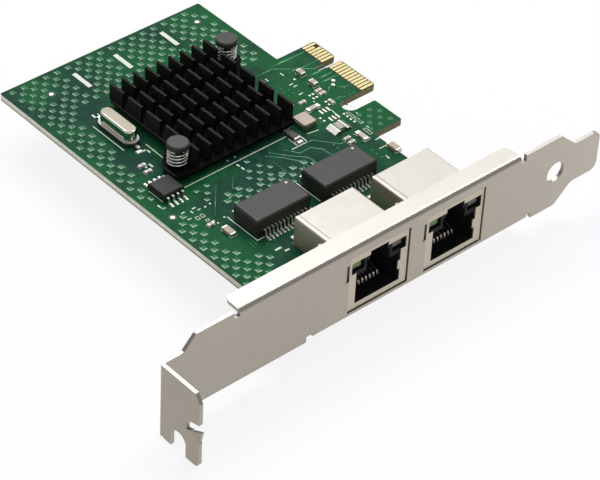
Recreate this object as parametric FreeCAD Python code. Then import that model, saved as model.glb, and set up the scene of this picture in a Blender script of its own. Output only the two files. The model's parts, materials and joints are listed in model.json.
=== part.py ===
import FreeCAD, Part
import math
import os

V = FreeCAD.Vector

# Dual port network interface card with a full height steel bracket, lying component side up.
# Frame: origin on the card edge, at the centre of the key notch and half way through the board.
# +X is the way the card plugs in, +Y leads away from the bracket, +Z is the component side.
# All sizes are in millimetres.

# Circuit board
BOARD_THICKNESS = 1.57
BOARD_WIDTH = 55.6
BOARD_REAR = 35.4
BOARD_FRONT_GAP = 0.44
BOARD_CORNER = 0.4
CONTACT_TAB_LENGTH = 11.3
CONTACT_TAB_SHORT_SIDE = 8.15
CONTACT_TAB_LONG_SIDE = 12.15
CONTACT_TAB_TIP_RADIUS = 1.2
KEY_NOTCH_WIDTH = 1.9
KEY_NOTCH_DEPTH = 7.1
BEVEL_LENGTH = 0.6
BEVEL_DEPTH = 0.35
HOOK_GAP = 4.15
HOOK_GAP_DEPTH = 0.4
HOOK_WIDTH = 8.7
HOOK_REACH = 7.0
NECK_STEP = 1.2
PORT_NOTCH_GAP = 0.2
PORT_NOTCH_BACK_GAP = 0.3

# Gold fingers of the card edge
FINGER_PITCH = 1.0
FINGER_WIDTH = 0.7
FINGER_LENGTH = 3.55
FINGER_PLATING = 0.04
FINGER_TO_KEY = 1.5
FINGERS_LONG_SIDE = 11
FINGERS_SHORT_SIDE = 7
SHORT_FINGER_CUT = 1.1

# Bracket, one folded sheet
KEY_TO_BRACKET = 59.0
EDGE_TO_SCREW_TAB = 98.7
SHEET = 0.86
BEND_RADIUS = 1.2
BRACKET_LENGTH = 120.02
BRACKET_WIDTH = 18.42
BRACKET_ABOVE_BOARD = 9.7
TAB_JOG = 3.12
TAB_JOG_START = 5.6
TAB_JOG_END = 8.5
TAB_DEPTH = 11.43
TAB_CHAMFER_SIDE = 1.3
TAB_CHAMFER_DROP = 2.1
SCREW_SLOT_WIDTH = 4.42
SCREW_SLOT_DEPTH = 4.9
SCREW_SLOT_FROM_PLATE = 5.4
PRONG_CORNER = 1.1
SIDE_NOTCH_DEPTH = 3.7
SIDE_NOTCH_WIDTH = 2.3
SIDE_NOTCH_TOP = 7.4
SIDE_NOTCH_SLANT = 1.1
LIP_LENGTH = 2.4
LIP_WIDTH = 2.4
LIP_ANGLE = 22.0
TONGUE_WIDTH = 10.19
TONGUE_LENGTH = 7.72
TONGUE_TAPER = 4.6
TONGUE_RADIUS = 2.0
TONGUE_HOLE = 5.0
TONGUE_HOLE_FROM_END = 13.02
FLANGE_DEPTH = 5.0
FLANGE_CORNER = 1.8
UPPER_FLANGE_START = 19.4
UPPER_FLANGE_MARGIN = 24.02
LOWER_FLANGE_START = 39.6
LOWER_FLANGE_MARGIN = 20.62
RELIEF_SMALL = 1.3
RELIEF_WIDE = 2.2
RELIEF_DEPTH = 1.45

# Mounting ears of the bracket and the screws that hold them to the board
EAR_HEIGHT = 5.6
EAR_ROOT = 1.5
EAR_START = 2.6
EAR_END = 8.9
EAR_FOOT_WIDE = 7.2
EAR_FOOT_NARROW = 4.7
EAR_RELIEF = 0.08
EAR_SCREW_FROM_PLATE = 6.6
EAR_SCREW_INSET_WIDE = 4.2
EAR_SCREW_INSET_NARROW = 2.65
SCREW_THREAD = 2.5
SCREW_HEAD = 4.3
SCREW_HEAD_HEIGHT = 1.5
SCREW_HEAD_ROUND = 0.5
SCREW_TIP = 0.8
SCREW_HOLE_GAP = 0.15
SCREW_THREAD_GAP = 0.02
CROSS_WIDTH = 0.6
CROSS_LENGTH = 2.4
CROSS_DEPTH = 0.8

# Network jacks
JACK_COUNT = 2
FIRST_JACK_FROM_TAB = 56.5
JACK_SPACE = 5.1
JACK_WIDTH = 16.0
JACK_HEIGHT = 13.8
JACK_DEPTH = 16.9
JACK_ABOVE_BOARD = 6.85
JACK_RECESS = 0.3
WINDOW_GAP = 0.25
SHIELD_WALL = 0.25
SHIELD_CORNER = 0.45
SHIELD_FIT = 0.05
APERTURE_WIDTH = 12.2
APERTURE_BOTTOM = 1.3
APERTURE_BAND_BOTTOM = 9.35
APERTURE_BAND_TOP = 12.25
APERTURE_BAND_INSET = 0.6
APERTURE_LATCH_WIDTH = 4.9
APERTURE_LATCH_TOP = 13.15
SHIELD_FINGER_BOTTOM = 4.2
SHIELD_FINGER_TOP = 6.5
SHIELD_FINGER_REACH = 0.6
SHIELD_FOOT_LENGTH = 1.7
SHIELD_FOOT_WIDTH = 2.0
SHIELD_FOOT_OFFSET = 6.3
SHIELD_SEAM = 0.12
SHIELD_SEAM_INSET = 1.1
SHIELD_SEAM_DEPTH = 0.12
CAVITY_WIDTH = 11.8
CAVITY_FLOOR = 1.45
CAVITY_TOP = 8.35
CAVITY_DEPTH = 12.3
LATCH_STEP_WIDTH = 6.2
LATCH_STEP_TOP = 10.9
LATCH_SLOT_WIDTH = 4.8
LATCH_SLOT_TOP = 12.95
LIGHT_WIDTH = 3.4
LIGHT_HEIGHT = 2.5
LIGHT_LENGTH = 8.0
LIGHT_INSET = 0.75
LIGHT_BOTTOM = 9.6
LIGHT_SETBACK = 0.75
LIGHT_DOME = 0.7
LIGHT_FIT = 0.08
CONTACT_COUNT = 8
CONTACT_PITCH = 1.02
CONTACT_WIDTH = 0.46
CONTACT_THICKNESS = 0.28
CONTACT_CHANNEL_GAP = 0.05
CONTACT_BEND_DEPTH = 4.0
CONTACT_FREE_DEPTH = 10.6
CONTACT_FREE_HEIGHT = 5.0
CONTACT_FLOOR_RUN = 0.85
CONTACT_RISER_DEPTH = 15.4
CONTACT_TAIL_LENGTH = 2.1
CONTACT_WINDOW_ABOVE = 0.9
CONTACT_WINDOW_BELOW = 0.3

# Line transformers, one for each jack
TRANSFORMER_LENGTH = 14.6
TRANSFORMER_WIDTH = 7.5
TRANSFORMER_TOP = 4.1
TRANSFORMER_STANDOFF = 0.2
TRANSFORMER_CHAMFER = 0.35
TRANSFORMER_FROM_KEY = 32.15
TRANSFORMER_X = (-47.6, -29.1)
TRANSFORMER_PINS = 12
TRANSFORMER_PIN_PITCH = 1.0
TRANSFORMER_PIN_WIDTH = 0.42
TRANSFORMER_PIN_REACH = 1.9
TRANSFORMER_PIN_EXIT = 1.5

# Controller package, thermal pad and heat sink
HEATSINK_X = -37.7
HEATSINK_Y = 2.2
PACKAGE_SIDE = 25.0
PACKAGE_THICKNESS = 0.7
JOINT_WIDTH = 0.5
JOINT_HEIGHT = 0.25
JOINT_ROWS = 11
JOINT_PITCH = 2.2
JOINT_SIDES = 6
PAD_THICKNESS = 0.15
PAD_SIDE = 24.0
SINK_WIDTH = 26.6
SINK_LENGTH = 30.6
SINK_BASE = 0.8
SINK_TOP = 6.0
SINK_CORNER = 0.5
FIN_COLUMNS = 9
FIN_PITCH = 3.24
FIN_THICKNESS = 0.6
FIN_ROWS = 5
FIN_ROW_PITCH = 6.25
FIN_LENGTH = 4.5
FIN_SHIFT = 0.5
EAR_LUG = 3.1
EAR_LUG_RADIUS = 2.2
EAR_LUG_SHOULDER = 1.6
EAR_LUG_TAPER = 7.0
PIN_OFFSET_X = 15.85
PIN_OFFSET_Y = 11.0
PIN_HEAD = 5.0
PIN_HEAD_HEIGHT = 1.2
PIN_HEAD_ROUND = 0.3
PIN_TOP = 7.6
PIN_SHANK = 2.4
PIN_BARB = 3.7
PIN_BARB_LENGTH = 2.4
PIN_TIP = 1.5
PIN_SLIT = 0.7
PIN_HOLE_GAP = 0.3
PIN_BARB_GAP = 0.1
SPRING_DIAMETER = 4.7
SPRING_WIRE = 0.45
SPRING_TURNS = 4.6
SPRING_END_GAP = 0.03
SPRING_STEPS = 18
SPRING_SIDES = 6

# Crystal
CRYSTAL_X = -55.3
CRYSTAL_Y = 8.85
CRYSTAL_FLANGE_LENGTH = 11.6
CRYSTAL_FLANGE_WIDTH = 4.1
CRYSTAL_CAN_LENGTH = 10.7
CRYSTAL_CAN_WIDTH = 3.2
CRYSTAL_BASE_HEIGHT = 0.5
CRYSTAL_FLANGE_HEIGHT = 0.4
CRYSTAL_TOP = 3.6
CRYSTAL_ROUND = 0.45
CRYSTAL_LEAD_WIDTH = 0.8
CRYSTAL_LEAD_THICKNESS = 0.25
CRYSTAL_LEAD_REACH = 1.2
CRYSTAL_LEAD_INSIDE = 3.2

# Memory chip in an eight lead package
MEMORY_X = -59.95
MEMORY_Y = -12.85
MEMORY_SIDE = 5.2
MEMORY_TOP = 1.9
MEMORY_CHAMFER = 0.15
MEMORY_STANDOFF = 0.1
MEMORY_LEADS = 4
MEMORY_LEAD_PITCH = 1.27
MEMORY_LEAD_WIDTH = 0.45
MEMORY_LEAD_REACH = 1.7
MEMORY_LEAD_EXIT = 1.1
LEAD_THICKNESS = 0.2

# Oscillator with a ceramic base and a metal lid
OSCILLATOR_X = -22.05
OSCILLATOR_Y = -13.3
OSCILLATOR_LENGTH = 4.4
OSCILLATOR_WIDTH = 3.8
OSCILLATOR_BASE = 1.2
OSCILLATOR_LID = 0.3
OSCILLATOR_RIM = 0.22
OSCILLATOR_CORNER = 0.4

# Fuse with its two broad end caps
FUSE_X = -17.2
FUSE_Y = -18.95
FUSE_LENGTH = 4.95
FUSE_WIDTH = 3.3
FUSE_BODY_WIDTH = 2.4
FUSE_BODY_LENGTH = 1.75
FUSE_HEIGHT = 0.9
FUSE_END_TOP = 0.75
FUSE_END_FLAT = 0.5
FUSE_END_LOW = 0.15

# Chip capacitors and resistors: length, width, height, end cap
LARGE_CAP = (3.2, 1.5, 0.8, 0.45)
MEDIUM_CAP = (2.0, 1.3, 1.0, 0.35)
LONG_CHIP = (3.4, 1.1, 0.55, 0.75)
SMALL_CHIP = (1.6, 0.8, 0.45, 0.3)
FERRITE_BEAD = (4.1, 1.6, 0.9, 0.45)
# Places: x, y, and the axis that the length follows
LARGE_CAP_PLACES = ((-58.25, -31.1, "y"), (-12.6, -31.4, "y"))
MEDIUM_CAP_PLACES = ((-10.9, 0.6, "y"), (-11.2, -3.9, "y"))
LONG_CHIP_PLACES = ((-17.05, -10.4, "x"), (-15.3, -24.2, "y"))
FERRITE_BEAD_PLACES = ((-27.15, -14.95, "y"),)
SMALL_CHIP_PLACES = (
    (-11.9, -6.3, "x"),
    (-11.9, -7.6, "x"),
    (-17.5, -7.4, "x"),
    (-12.3, -11.1, "y"),
    (-18.35, -22.85, "x"),
    (-18.4, -24.4, "x"),
    (-59.6, -26.95, "x"),
    (-58.6, -3.2, "x"),
    (-58.8, -5.5, "x"),
)

# Bare solder pads
PAD_PLATING = 0.04
TEST_PAD = 0.9
TEST_PAD_PLACES = ((-6.65, -5.4), (-7.75, -6.55))
SMALL_PAD = 0.55
SMALL_PAD_PLACES = (
    (-14.45, -6.4),
    (-13.55, -6.4),
    (-14.45, -7.7),
    (-13.55, -7.7),
    (-13.15, 0.1),
    (-13.15, -10.2),
    (-13.15, -11.35),
    (-12.95, -15.9),
    (-12.95, -17.0),
    (-13.0, -18.2),
    (-13.0, -19.3),
    (-18.0, -13.9),
    (-17.95, -15.1),
)
SPARE_PAD_LENGTH = 1.4
SPARE_PAD_WIDTH = 0.42
SPARE_PAD_PITCH = 1.0
SPARE_PAD_COUNT = 3
SPARE_PAD_X = -15.45
SPARE_PAD_Y = -13.95
SPARE_PAD_SPAN = 3.1

# How far a cutter reaches past the face that it cuts
OVERCUT = 1.0

# Levels and edges that the sizes above give
TOP = BOARD_THICKNESS / 2
BOTTOM = -TOP
BOARD_RIGHT = -CONTACT_TAB_LENGTH
BOARD_LEFT = BOARD_RIGHT - BOARD_WIDTH
PLATE_FRONT = -KEY_TO_BRACKET
PLATE_BACK = PLATE_FRONT + SHEET
BOARD_FRONT = PLATE_BACK + BOARD_FRONT_GAP
TAB_FACE = -EDGE_TO_SCREW_TAB
PLATE_TOP = TOP + BRACKET_ABOVE_BOARD
PLATE_LOW = PLATE_TOP - BRACKET_WIDTH
TAB_TOP = PLATE_TOP - TAB_JOG
TAB_LOW = PLATE_LOW - TAB_JOG
TONGUE_START = BRACKET_LENGTH - TONGUE_LENGTH
TONGUE_SHOULDER = TONGUE_START - TONGUE_TAPER
UPPER_FLANGE_END = BRACKET_LENGTH - UPPER_FLANGE_MARGIN
LOWER_FLANGE_END = BRACKET_LENGTH - LOWER_FLANGE_MARGIN
INNER_BEND = BEND_RADIUS - SHEET
JACK_FRONT = PLATE_FRONT + JACK_RECESS
JACK_BACK = JACK_FRONT + JACK_DEPTH
JACK_TOP = TOP + JACK_ABOVE_BOARD
JACK_LOW = JACK_TOP - JACK_HEIGHT
JACK_PITCH = JACK_WIDTH + JACK_SPACE
LIGHT_CENTRE = JACK_WIDTH / 2 - LIGHT_INSET - LIGHT_WIDTH / 2
PACKAGE_LOW = TOP + JOINT_HEIGHT
PACKAGE_TOP = PACKAGE_LOW + PACKAGE_THICKNESS
SINK_LOW = PACKAGE_TOP + PAD_THICKNESS
SINK_FLOOR = SINK_LOW + SINK_BASE
PIN_HEAD_LOW = TOP + PIN_TOP - PIN_HEAD_HEIGHT


def box(x0, x1, y0, y1, z0, z1):
    """Block between two corners."""
    return Part.makeBox(x1 - x0, y1 - y0, z1 - z0, V(x0, y0, z0))


def rod(radius, x, y, z0, z1):
    """Upright cylinder."""
    return Part.makeCylinder(radius, z1 - z0, V(x, y, z0))


def flat(level):
    """Map outline points onto a level plane at this height."""
    return lambda a, b: V(a, b, level)


def facing_front(y):
    """Map outline points (x, z) onto an upright plane at this y."""
    return lambda a, b: V(a, y, b)


def facing_side(x):
    """Map outline points (y, z) onto an upright plane at this x."""
    return lambda a, b: V(x, a, b)


def corner_arc(before, corner, after, radius):
    """Start, middle and end of the arc that rounds one corner of an outline."""
    one = (before[0] - corner[0], before[1] - corner[1])
    two = (after[0] - corner[0], after[1] - corner[1])
    one_length = math.hypot(*one)
    two_length = math.hypot(*two)
    one = (one[0] / one_length, one[1] / one_length)
    two = (two[0] / two_length, two[1] / two_length)
    half = math.acos(one[0] * two[0] + one[1] * two[1]) / 2
    setback = radius / math.tan(half)
    bisector = (one[0] + two[0], one[1] + two[1])
    size = math.hypot(*bisector)
    depth = (radius / math.sin(half) - radius) / size
    start = (corner[0] + one[0] * setback, corner[1] + one[1] * setback)
    middle = (corner[0] + bisector[0] * depth, corner[1] + bisector[1] * depth)
    end = (corner[0] + two[0] * setback, corner[1] + two[1] * setback)
    return start, middle, end


def outline(points, place):
    """Closed face through points (a, b) or (a, b, corner radius)."""
    edges = []
    first = None
    last = None
    for index, point in enumerate(points):
        radius = point[2] if len(point) > 2 else 0
        if radius:
            before = points[index - 1]
            after = points[(index + 1) % len(points)]
            start, middle, end = corner_arc(before, point, after, radius)
        else:
            start = end = point[:2]
        if last and math.dist(last, start) > 1e-6:
            edges.append(Part.LineSegment(place(*last), place(*start)).toShape())
        if radius:
            edges.append(Part.Arc(place(*start), place(*middle), place(*end)).toShape())
        first = first or start
        last = end
    if math.dist(last, first) > 1e-6:
        edges.append(Part.LineSegment(place(*last), place(*first)).toShape())
    return Part.Face(Part.Wire(edges))


def level_slab(points, z0, z1):
    """Outline in x and y, thickened upwards."""
    return outline(points, flat(z0)).extrude(V(0, 0, z1 - z0))


def front_slab(points, y0, y1):
    """Outline in x and z, thickened along y."""
    return outline(points, facing_front(y0)).extrude(V(0, y1 - y0, 0))


def side_slab(points, x0, x1):
    """Outline in y and z, thickened along x."""
    return outline(points, facing_side(x0)).extrude(V(x1 - x0, 0, 0))


def ribbon(path, thickness):
    """Outline of a strip of even thickness along a path, with mitred corners."""
    half = thickness / 2
    left = []
    right = []
    for index, point in enumerate(path):
        before = path[max(index - 1, 0)]
        after = path[min(index + 1, len(path) - 1)]
        one = (point[0] - before[0], point[1] - before[1])
        two = (after[0] - point[0], after[1] - point[1])
        if index == 0:
            one = two
        if index == len(path) - 1:
            two = one
        one_length = math.hypot(*one)
        two_length = math.hypot(*two)
        normal_one = (-one[1] / one_length, one[0] / one_length)
        normal_two = (-two[1] / two_length, two[0] / two_length)
        mid = (normal_one[0] + normal_two[0], normal_one[1] + normal_two[1])
        scale = half * 2 / (mid[0] ** 2 + mid[1] ** 2)
        left.append((point[0] + mid[0] * scale, point[1] + mid[1] * scale))
        right.append((point[0] - mid[0] * scale, point[1] - mid[1] * scale))
    return left + right[::-1]


def save(name, solids):
    """Write one sub-part, made of one solid or of several."""
    if isinstance(solids, (list, tuple)):
        shape = Part.makeCompound(list(solids))
    else:
        shape = solids
    shape.exportStep("parts/" + name + ".step")


def jack_centres():
    """Middle of each jack along the bracket."""
    first = TAB_FACE + FIRST_JACK_FROM_TAB
    return [first + JACK_PITCH * number for number in range(JACK_COUNT)]


def sink_pins():
    """Places of the two push pins, front left and rear right."""
    return [
        (HEATSINK_X - PIN_OFFSET_X, HEATSINK_Y - PIN_OFFSET_Y),
        (HEATSINK_X + PIN_OFFSET_X, HEATSINK_Y + PIN_OFFSET_Y),
    ]


def bracket_ears():
    """Fold line, foot width and screw inset of each mounting ear."""
    half = JACK_WIDTH / 2 + WINDOW_GAP
    first, second = jack_centres()[:2]
    return [
        (first - half, EAR_FOOT_WIDE, EAR_SCREW_INSET_WIDE),
        (second - half, EAR_FOOT_NARROW, EAR_SCREW_INSET_NARROW),
    ]


def bracket_screw_places():
    """Places of the screws through the board into the ears."""
    y = PLATE_FRONT + EAR_SCREW_FROM_PLATE
    return [(fold - inset, y) for fold, _, inset in bracket_ears()]


def board_points():
    """Outline of the circuit board, counter-clockwise from its front left corner."""
    notch_half = JACK_WIDTH / 2 + PORT_NOTCH_GAP
    notch_back = JACK_BACK + PORT_NOTCH_BACK_GAP
    first, second = jack_centres()[:2]
    neck = BOARD_RIGHT - NECK_STEP
    tab_front = -CONTACT_TAB_LONG_SIDE
    hook_rear = tab_front - HOOK_GAP
    hook_front = hook_rear - HOOK_WIDTH
    hook_right = BOARD_RIGHT + HOOK_REACH
    gap_end = BOARD_RIGHT - HOOK_GAP_DEPTH
    gap_round = HOOK_GAP * 0.49
    key = KEY_NOTCH_WIDTH / 2
    key_round = key * 0.98
    small = BOARD_CORNER
    return [
        (BOARD_LEFT, BOARD_FRONT, small),
        (first - notch_half, BOARD_FRONT, small),
        (first - notch_half, notch_back, small),
        (first + notch_half, notch_back, small),
        (first + notch_half, BOARD_FRONT, small),
        (second - notch_half, BOARD_FRONT, small),
        (second - notch_half, notch_back, small),
        (neck, notch_back, small),
        (neck, hook_front, small),
        (hook_right, hook_front, small),
        (hook_right, hook_rear, small),
        (gap_end, hook_rear, gap_round),
        (gap_end, tab_front, gap_round),
        (0, tab_front, CONTACT_TAB_TIP_RADIUS),
        (0, -key),
        (-KEY_NOTCH_DEPTH, -key, key_round),
        (-KEY_NOTCH_DEPTH, key, key_round),
        (0, key, CONTACT_TAB_TIP_RADIUS),
        (0, CONTACT_TAB_SHORT_SIDE),
        (BOARD_RIGHT, CONTACT_TAB_SHORT_SIDE, small),
        (BOARD_RIGHT, BOARD_REAR, small),
        (BOARD_LEFT, BOARD_REAR, small),
    ]


def edge_bevels():
    """Wedges that bevel both faces of the card edge."""
    reach = CONTACT_TAB_LONG_SIDE + CONTACT_TAB_SHORT_SIDE
    wedges = []
    for side in (1, -1):
        points = [
            (-BEVEL_LENGTH, side * TOP),
            (0, side * (TOP - BEVEL_DEPTH)),
            (OVERCUT, side * (TOP - BEVEL_DEPTH)),
            (OVERCUT, side * (TOP + OVERCUT)),
            (-BEVEL_LENGTH, side * (TOP + OVERCUT)),
        ]
        wedges.append(front_slab(points, -reach, reach))
    return wedges


def circuit_board():
    """Bare board with its notches, key, bevel and holes."""
    board = level_slab(board_points(), BOTTOM, TOP)
    cutters = edge_bevels()
    low = BOTTOM - OVERCUT
    high = TOP + OVERCUT
    for x, y in sink_pins():
        cutters.append(rod(PIN_SHANK / 2 + PIN_HOLE_GAP, x, y, low, high))
    for x, y in bracket_screw_places():
        cutters.append(rod(SCREW_THREAD / 2 + SCREW_HOLE_GAP, x, y, low, high))
    return board.cut(cutters).removeSplitter()


def edge_contacts():
    """Gold fingers on both faces, with the short one on each face."""
    fingers = []
    long_side = [-FINGER_TO_KEY - FINGER_PITCH * n for n in range(FINGERS_LONG_SIDE)]
    short_side = [FINGER_TO_KEY + FINGER_PITCH * n for n in range(FINGERS_SHORT_SIDE)]
    short_on_top = short_side[-2]
    short_below = long_side[-1]
    for centre in long_side + short_side:
        y0 = centre - FINGER_WIDTH / 2
        y1 = centre + FINGER_WIDTH / 2
        start = -BEVEL_LENGTH - FINGER_LENGTH
        end = -BEVEL_LENGTH
        top_end = end - (SHORT_FINGER_CUT if centre == short_on_top else 0)
        low_end = end - (SHORT_FINGER_CUT if centre == short_below else 0)
        fingers.append(box(start, top_end, y0, y1, TOP, TOP + FINGER_PLATING))
        fingers.append(box(start, low_end, y0, y1, BOTTOM - FINGER_PLATING, BOTTOM))
    return fingers


def bracket_plate_points():
    """Outline of the flat plate, as (x, z), clockwise from the screw tab's bend."""
    def at(distance):
        return TAB_FACE + distance

    relief_top = PLATE_TOP - RELIEF_DEPTH
    relief_low = PLATE_LOW + RELIEF_DEPTH
    fold_top = PLATE_TOP - BEND_RADIUS
    fold_low = PLATE_LOW + BEND_RADIUS
    middle = (PLATE_TOP + PLATE_LOW) / 2
    tongue_top = middle + TONGUE_WIDTH / 2
    tongue_low = middle - TONGUE_WIDTH / 2
    return [
        (at(BEND_RADIUS), TAB_TOP),
        (at(TAB_JOG_START), TAB_TOP, 1.0),
        (at(TAB_JOG_END), PLATE_TOP, 1.0),
        (at(UPPER_FLANGE_START - RELIEF_SMALL), PLATE_TOP),
        (at(UPPER_FLANGE_START - RELIEF_SMALL), relief_top),
        (at(UPPER_FLANGE_START), relief_top),
        (at(UPPER_FLANGE_START), fold_top),
        (at(UPPER_FLANGE_END), fold_top),
        (at(UPPER_FLANGE_END), relief_top),
        (at(UPPER_FLANGE_END + RELIEF_SMALL), relief_top),
        (at(UPPER_FLANGE_END + RELIEF_SMALL), PLATE_TOP),
        (at(TONGUE_SHOULDER), PLATE_TOP),
        (at(TONGUE_START), tongue_top),
        (at(BRACKET_LENGTH), tongue_top, TONGUE_RADIUS),
        (at(BRACKET_LENGTH), tongue_low, TONGUE_RADIUS),
        (at(TONGUE_START), tongue_low, TONGUE_RADIUS),
        (at(TONGUE_SHOULDER), PLATE_LOW, 1.0),
        (at(LOWER_FLANGE_END + RELIEF_SMALL), PLATE_LOW),
        (at(LOWER_FLANGE_END + RELIEF_SMALL), relief_low),
        (at(LOWER_FLANGE_END), relief_low),
        (at(LOWER_FLANGE_END), fold_low),
        (at(LOWER_FLANGE_START), fold_low),
        (at(LOWER_FLANGE_START), relief_low),
        (at(LOWER_FLANGE_START - RELIEF_WIDE), relief_low),
        (at(LOWER_FLANGE_START - RELIEF_WIDE), PLATE_LOW),
        (at(TAB_JOG_END), PLATE_LOW, 1.0),
        (at(TAB_JOG_START), TAB_LOW, 1.0),
        (at(BEND_RADIUS), TAB_LOW),
    ]


def bracket_flange(start, end, side):
    """Flange folded back from the plate's upper (1) or lower (-1) edge."""
    edge = PLATE_TOP if side > 0 else PLATE_LOW
    fold = edge - side * BEND_RADIUS
    centre_y = PLATE_FRONT + BEND_RADIUS
    slope = math.sqrt(0.5)
    outer_mid = (centre_y - BEND_RADIUS * slope, fold + side * BEND_RADIUS * slope)
    inner_mid = (centre_y - INNER_BEND * slope, fold + side * INNER_BEND * slope)
    place = facing_side(TAB_FACE + start)
    back = PLATE_FRONT + FLANGE_DEPTH
    inside = edge - side * SHEET
    edges = [
        Part.Arc(place(PLATE_FRONT, fold), place(*outer_mid), place(centre_y, edge)).toShape(),
        Part.LineSegment(place(centre_y, edge), place(back, edge)).toShape(),
        Part.LineSegment(place(back, edge), place(back, inside)).toShape(),
        Part.LineSegment(place(back, inside), place(centre_y, inside)).toShape(),
        Part.Arc(place(centre_y, inside), place(*inner_mid), place(PLATE_BACK, fold)).toShape(),
        Part.LineSegment(place(PLATE_BACK, fold), place(PLATE_FRONT, fold)).toShape(),
    ]
    flange = Part.Face(Part.Wire(edges)).extrude(V(end - start, 0, 0))
    x0 = TAB_FACE + start
    x1 = TAB_FACE + end
    rounding = [
        (x0, PLATE_FRONT - OVERCUT),
        (x1, PLATE_FRONT - OVERCUT),
        (x1, back, FLANGE_CORNER),
        (x0, back, FLANGE_CORNER),
    ]
    return flange.common(level_slab(rounding, edge - 2 * BEND_RADIUS, edge + 2 * BEND_RADIUS))


def lip_points():
    """Corner below the tab's side notch that is bent inwards: crease, tip, crease."""
    out = PLATE_FRONT - TAB_DEPTH
    tip = TAB_TOP - SIDE_NOTCH_TOP - SIDE_NOTCH_WIDTH
    drop = SIDE_NOTCH_SLANT * LIP_LENGTH / SIDE_NOTCH_DEPTH
    return [(out + LIP_LENGTH, tip - drop), (out, tip), (out, tip - LIP_WIDTH)]


def tab_points():
    """Outline of the screw tab, as (y, z), with its side notch and screw slot."""
    out = PLATE_FRONT - TAB_DEPTH
    slot_near = PLATE_FRONT - SCREW_SLOT_FROM_PLATE + SCREW_SLOT_WIDTH / 2
    slot_far = slot_near - SCREW_SLOT_WIDTH
    slot_top = TAB_LOW + SCREW_SLOT_DEPTH
    notch_in = out + SIDE_NOTCH_DEPTH
    notch_top = TAB_TOP - SIDE_NOTCH_TOP
    lip = lip_points()
    slot_round = SCREW_SLOT_WIDTH * 0.49
    return [
        (PLATE_BACK - BEND_RADIUS, TAB_TOP),
        (out + TAB_CHAMFER_SIDE, TAB_TOP),
        (out, TAB_TOP - TAB_CHAMFER_DROP),
        (out, notch_top),
        (notch_in, notch_top - SIDE_NOTCH_SLANT),
        (notch_in, notch_top - SIDE_NOTCH_WIDTH - SIDE_NOTCH_SLANT),
        lip[0],
        lip[2],
        (out, TAB_LOW, PRONG_CORNER),
        (slot_far, TAB_LOW),
        (slot_far, slot_top, slot_round),
        (slot_near, slot_top, slot_round),
        (slot_near, TAB_LOW),
        (PLATE_BACK - BEND_RADIUS, TAB_LOW, PRONG_CORNER),
    ]


def screw_tab():
    """Tab folded out from the plate's end, with the bent lip below its side notch."""
    flat_part = side_slab(tab_points(), TAB_FACE, TAB_FACE + SHEET)
    corner = lip_points()
    lip = side_slab(corner, TAB_FACE, TAB_FACE + SHEET)
    crease = V(0, corner[2][0] - corner[0][0], corner[2][1] - corner[0][1])
    lip.rotate(V(TAB_FACE, *corner[0]), crease, -LIP_ANGLE)
    return flat_part.fuse(lip)


def tab_bend():
    """Rounded bend between the plate and the screw tab."""
    centre = (TAB_FACE + BEND_RADIUS, PLATE_BACK - BEND_RADIUS)
    slope = math.sqrt(0.5)
    place = flat(TAB_LOW)
    outer = [
        place(centre[0], PLATE_BACK),
        place(centre[0] - BEND_RADIUS * slope, centre[1] + BEND_RADIUS * slope),
        place(TAB_FACE, centre[1]),
    ]
    inner = [
        place(TAB_FACE + SHEET, centre[1]),
        place(centre[0] - INNER_BEND * slope, centre[1] + INNER_BEND * slope),
        place(centre[0], PLATE_FRONT),
    ]
    edges = [
        Part.Arc(*outer).toShape(),
        Part.LineSegment(outer[2], inner[0]).toShape(),
        Part.Arc(*inner).toShape(),
        Part.LineSegment(inner[2], outer[0]).toShape(),
    ]
    return Part.Face(Part.Wire(edges)).extrude(V(0, 0, TAB_TOP - TAB_LOW))


def ear_root(fold):
    """Upright wall of an ear, folded back from the edge of a port window."""
    low = TOP + EAR_ROOT
    high = TOP + EAR_HEIGHT
    end = PLATE_FRONT + EAR_END
    points = [
        (fold - BEND_RADIUS, PLATE_FRONT),
        (fold, PLATE_FRONT, BEND_RADIUS),
        (fold, end),
        (fold - SHEET, end),
        (fold - SHEET, PLATE_BACK, INNER_BEND),
        (fold - BEND_RADIUS, PLATE_BACK),
    ]
    return level_slab(points, low, high)


def ear_foot(fold, width, inset):
    """Wall and foot of an ear, with the threaded hole in the foot."""
    start = PLATE_FRONT + EAR_START
    end = PLATE_FRONT + EAR_END
    points = [
        (fold, TOP + EAR_HEIGHT),
        (fold, TOP, BEND_RADIUS),
        (fold - width, TOP),
        (fold - width, TOP + SHEET),
        (fold - SHEET, TOP + SHEET, INNER_BEND),
        (fold - SHEET, TOP + EAR_HEIGHT),
    ]
    foot = front_slab(points, start, end)
    radius = SCREW_THREAD / 2 + SCREW_THREAD_GAP
    y = PLATE_FRONT + EAR_SCREW_FROM_PLATE
    return foot.cut(rod(radius, fold - inset, y, TOP - OVERCUT, TOP + 2 * SHEET))


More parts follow.
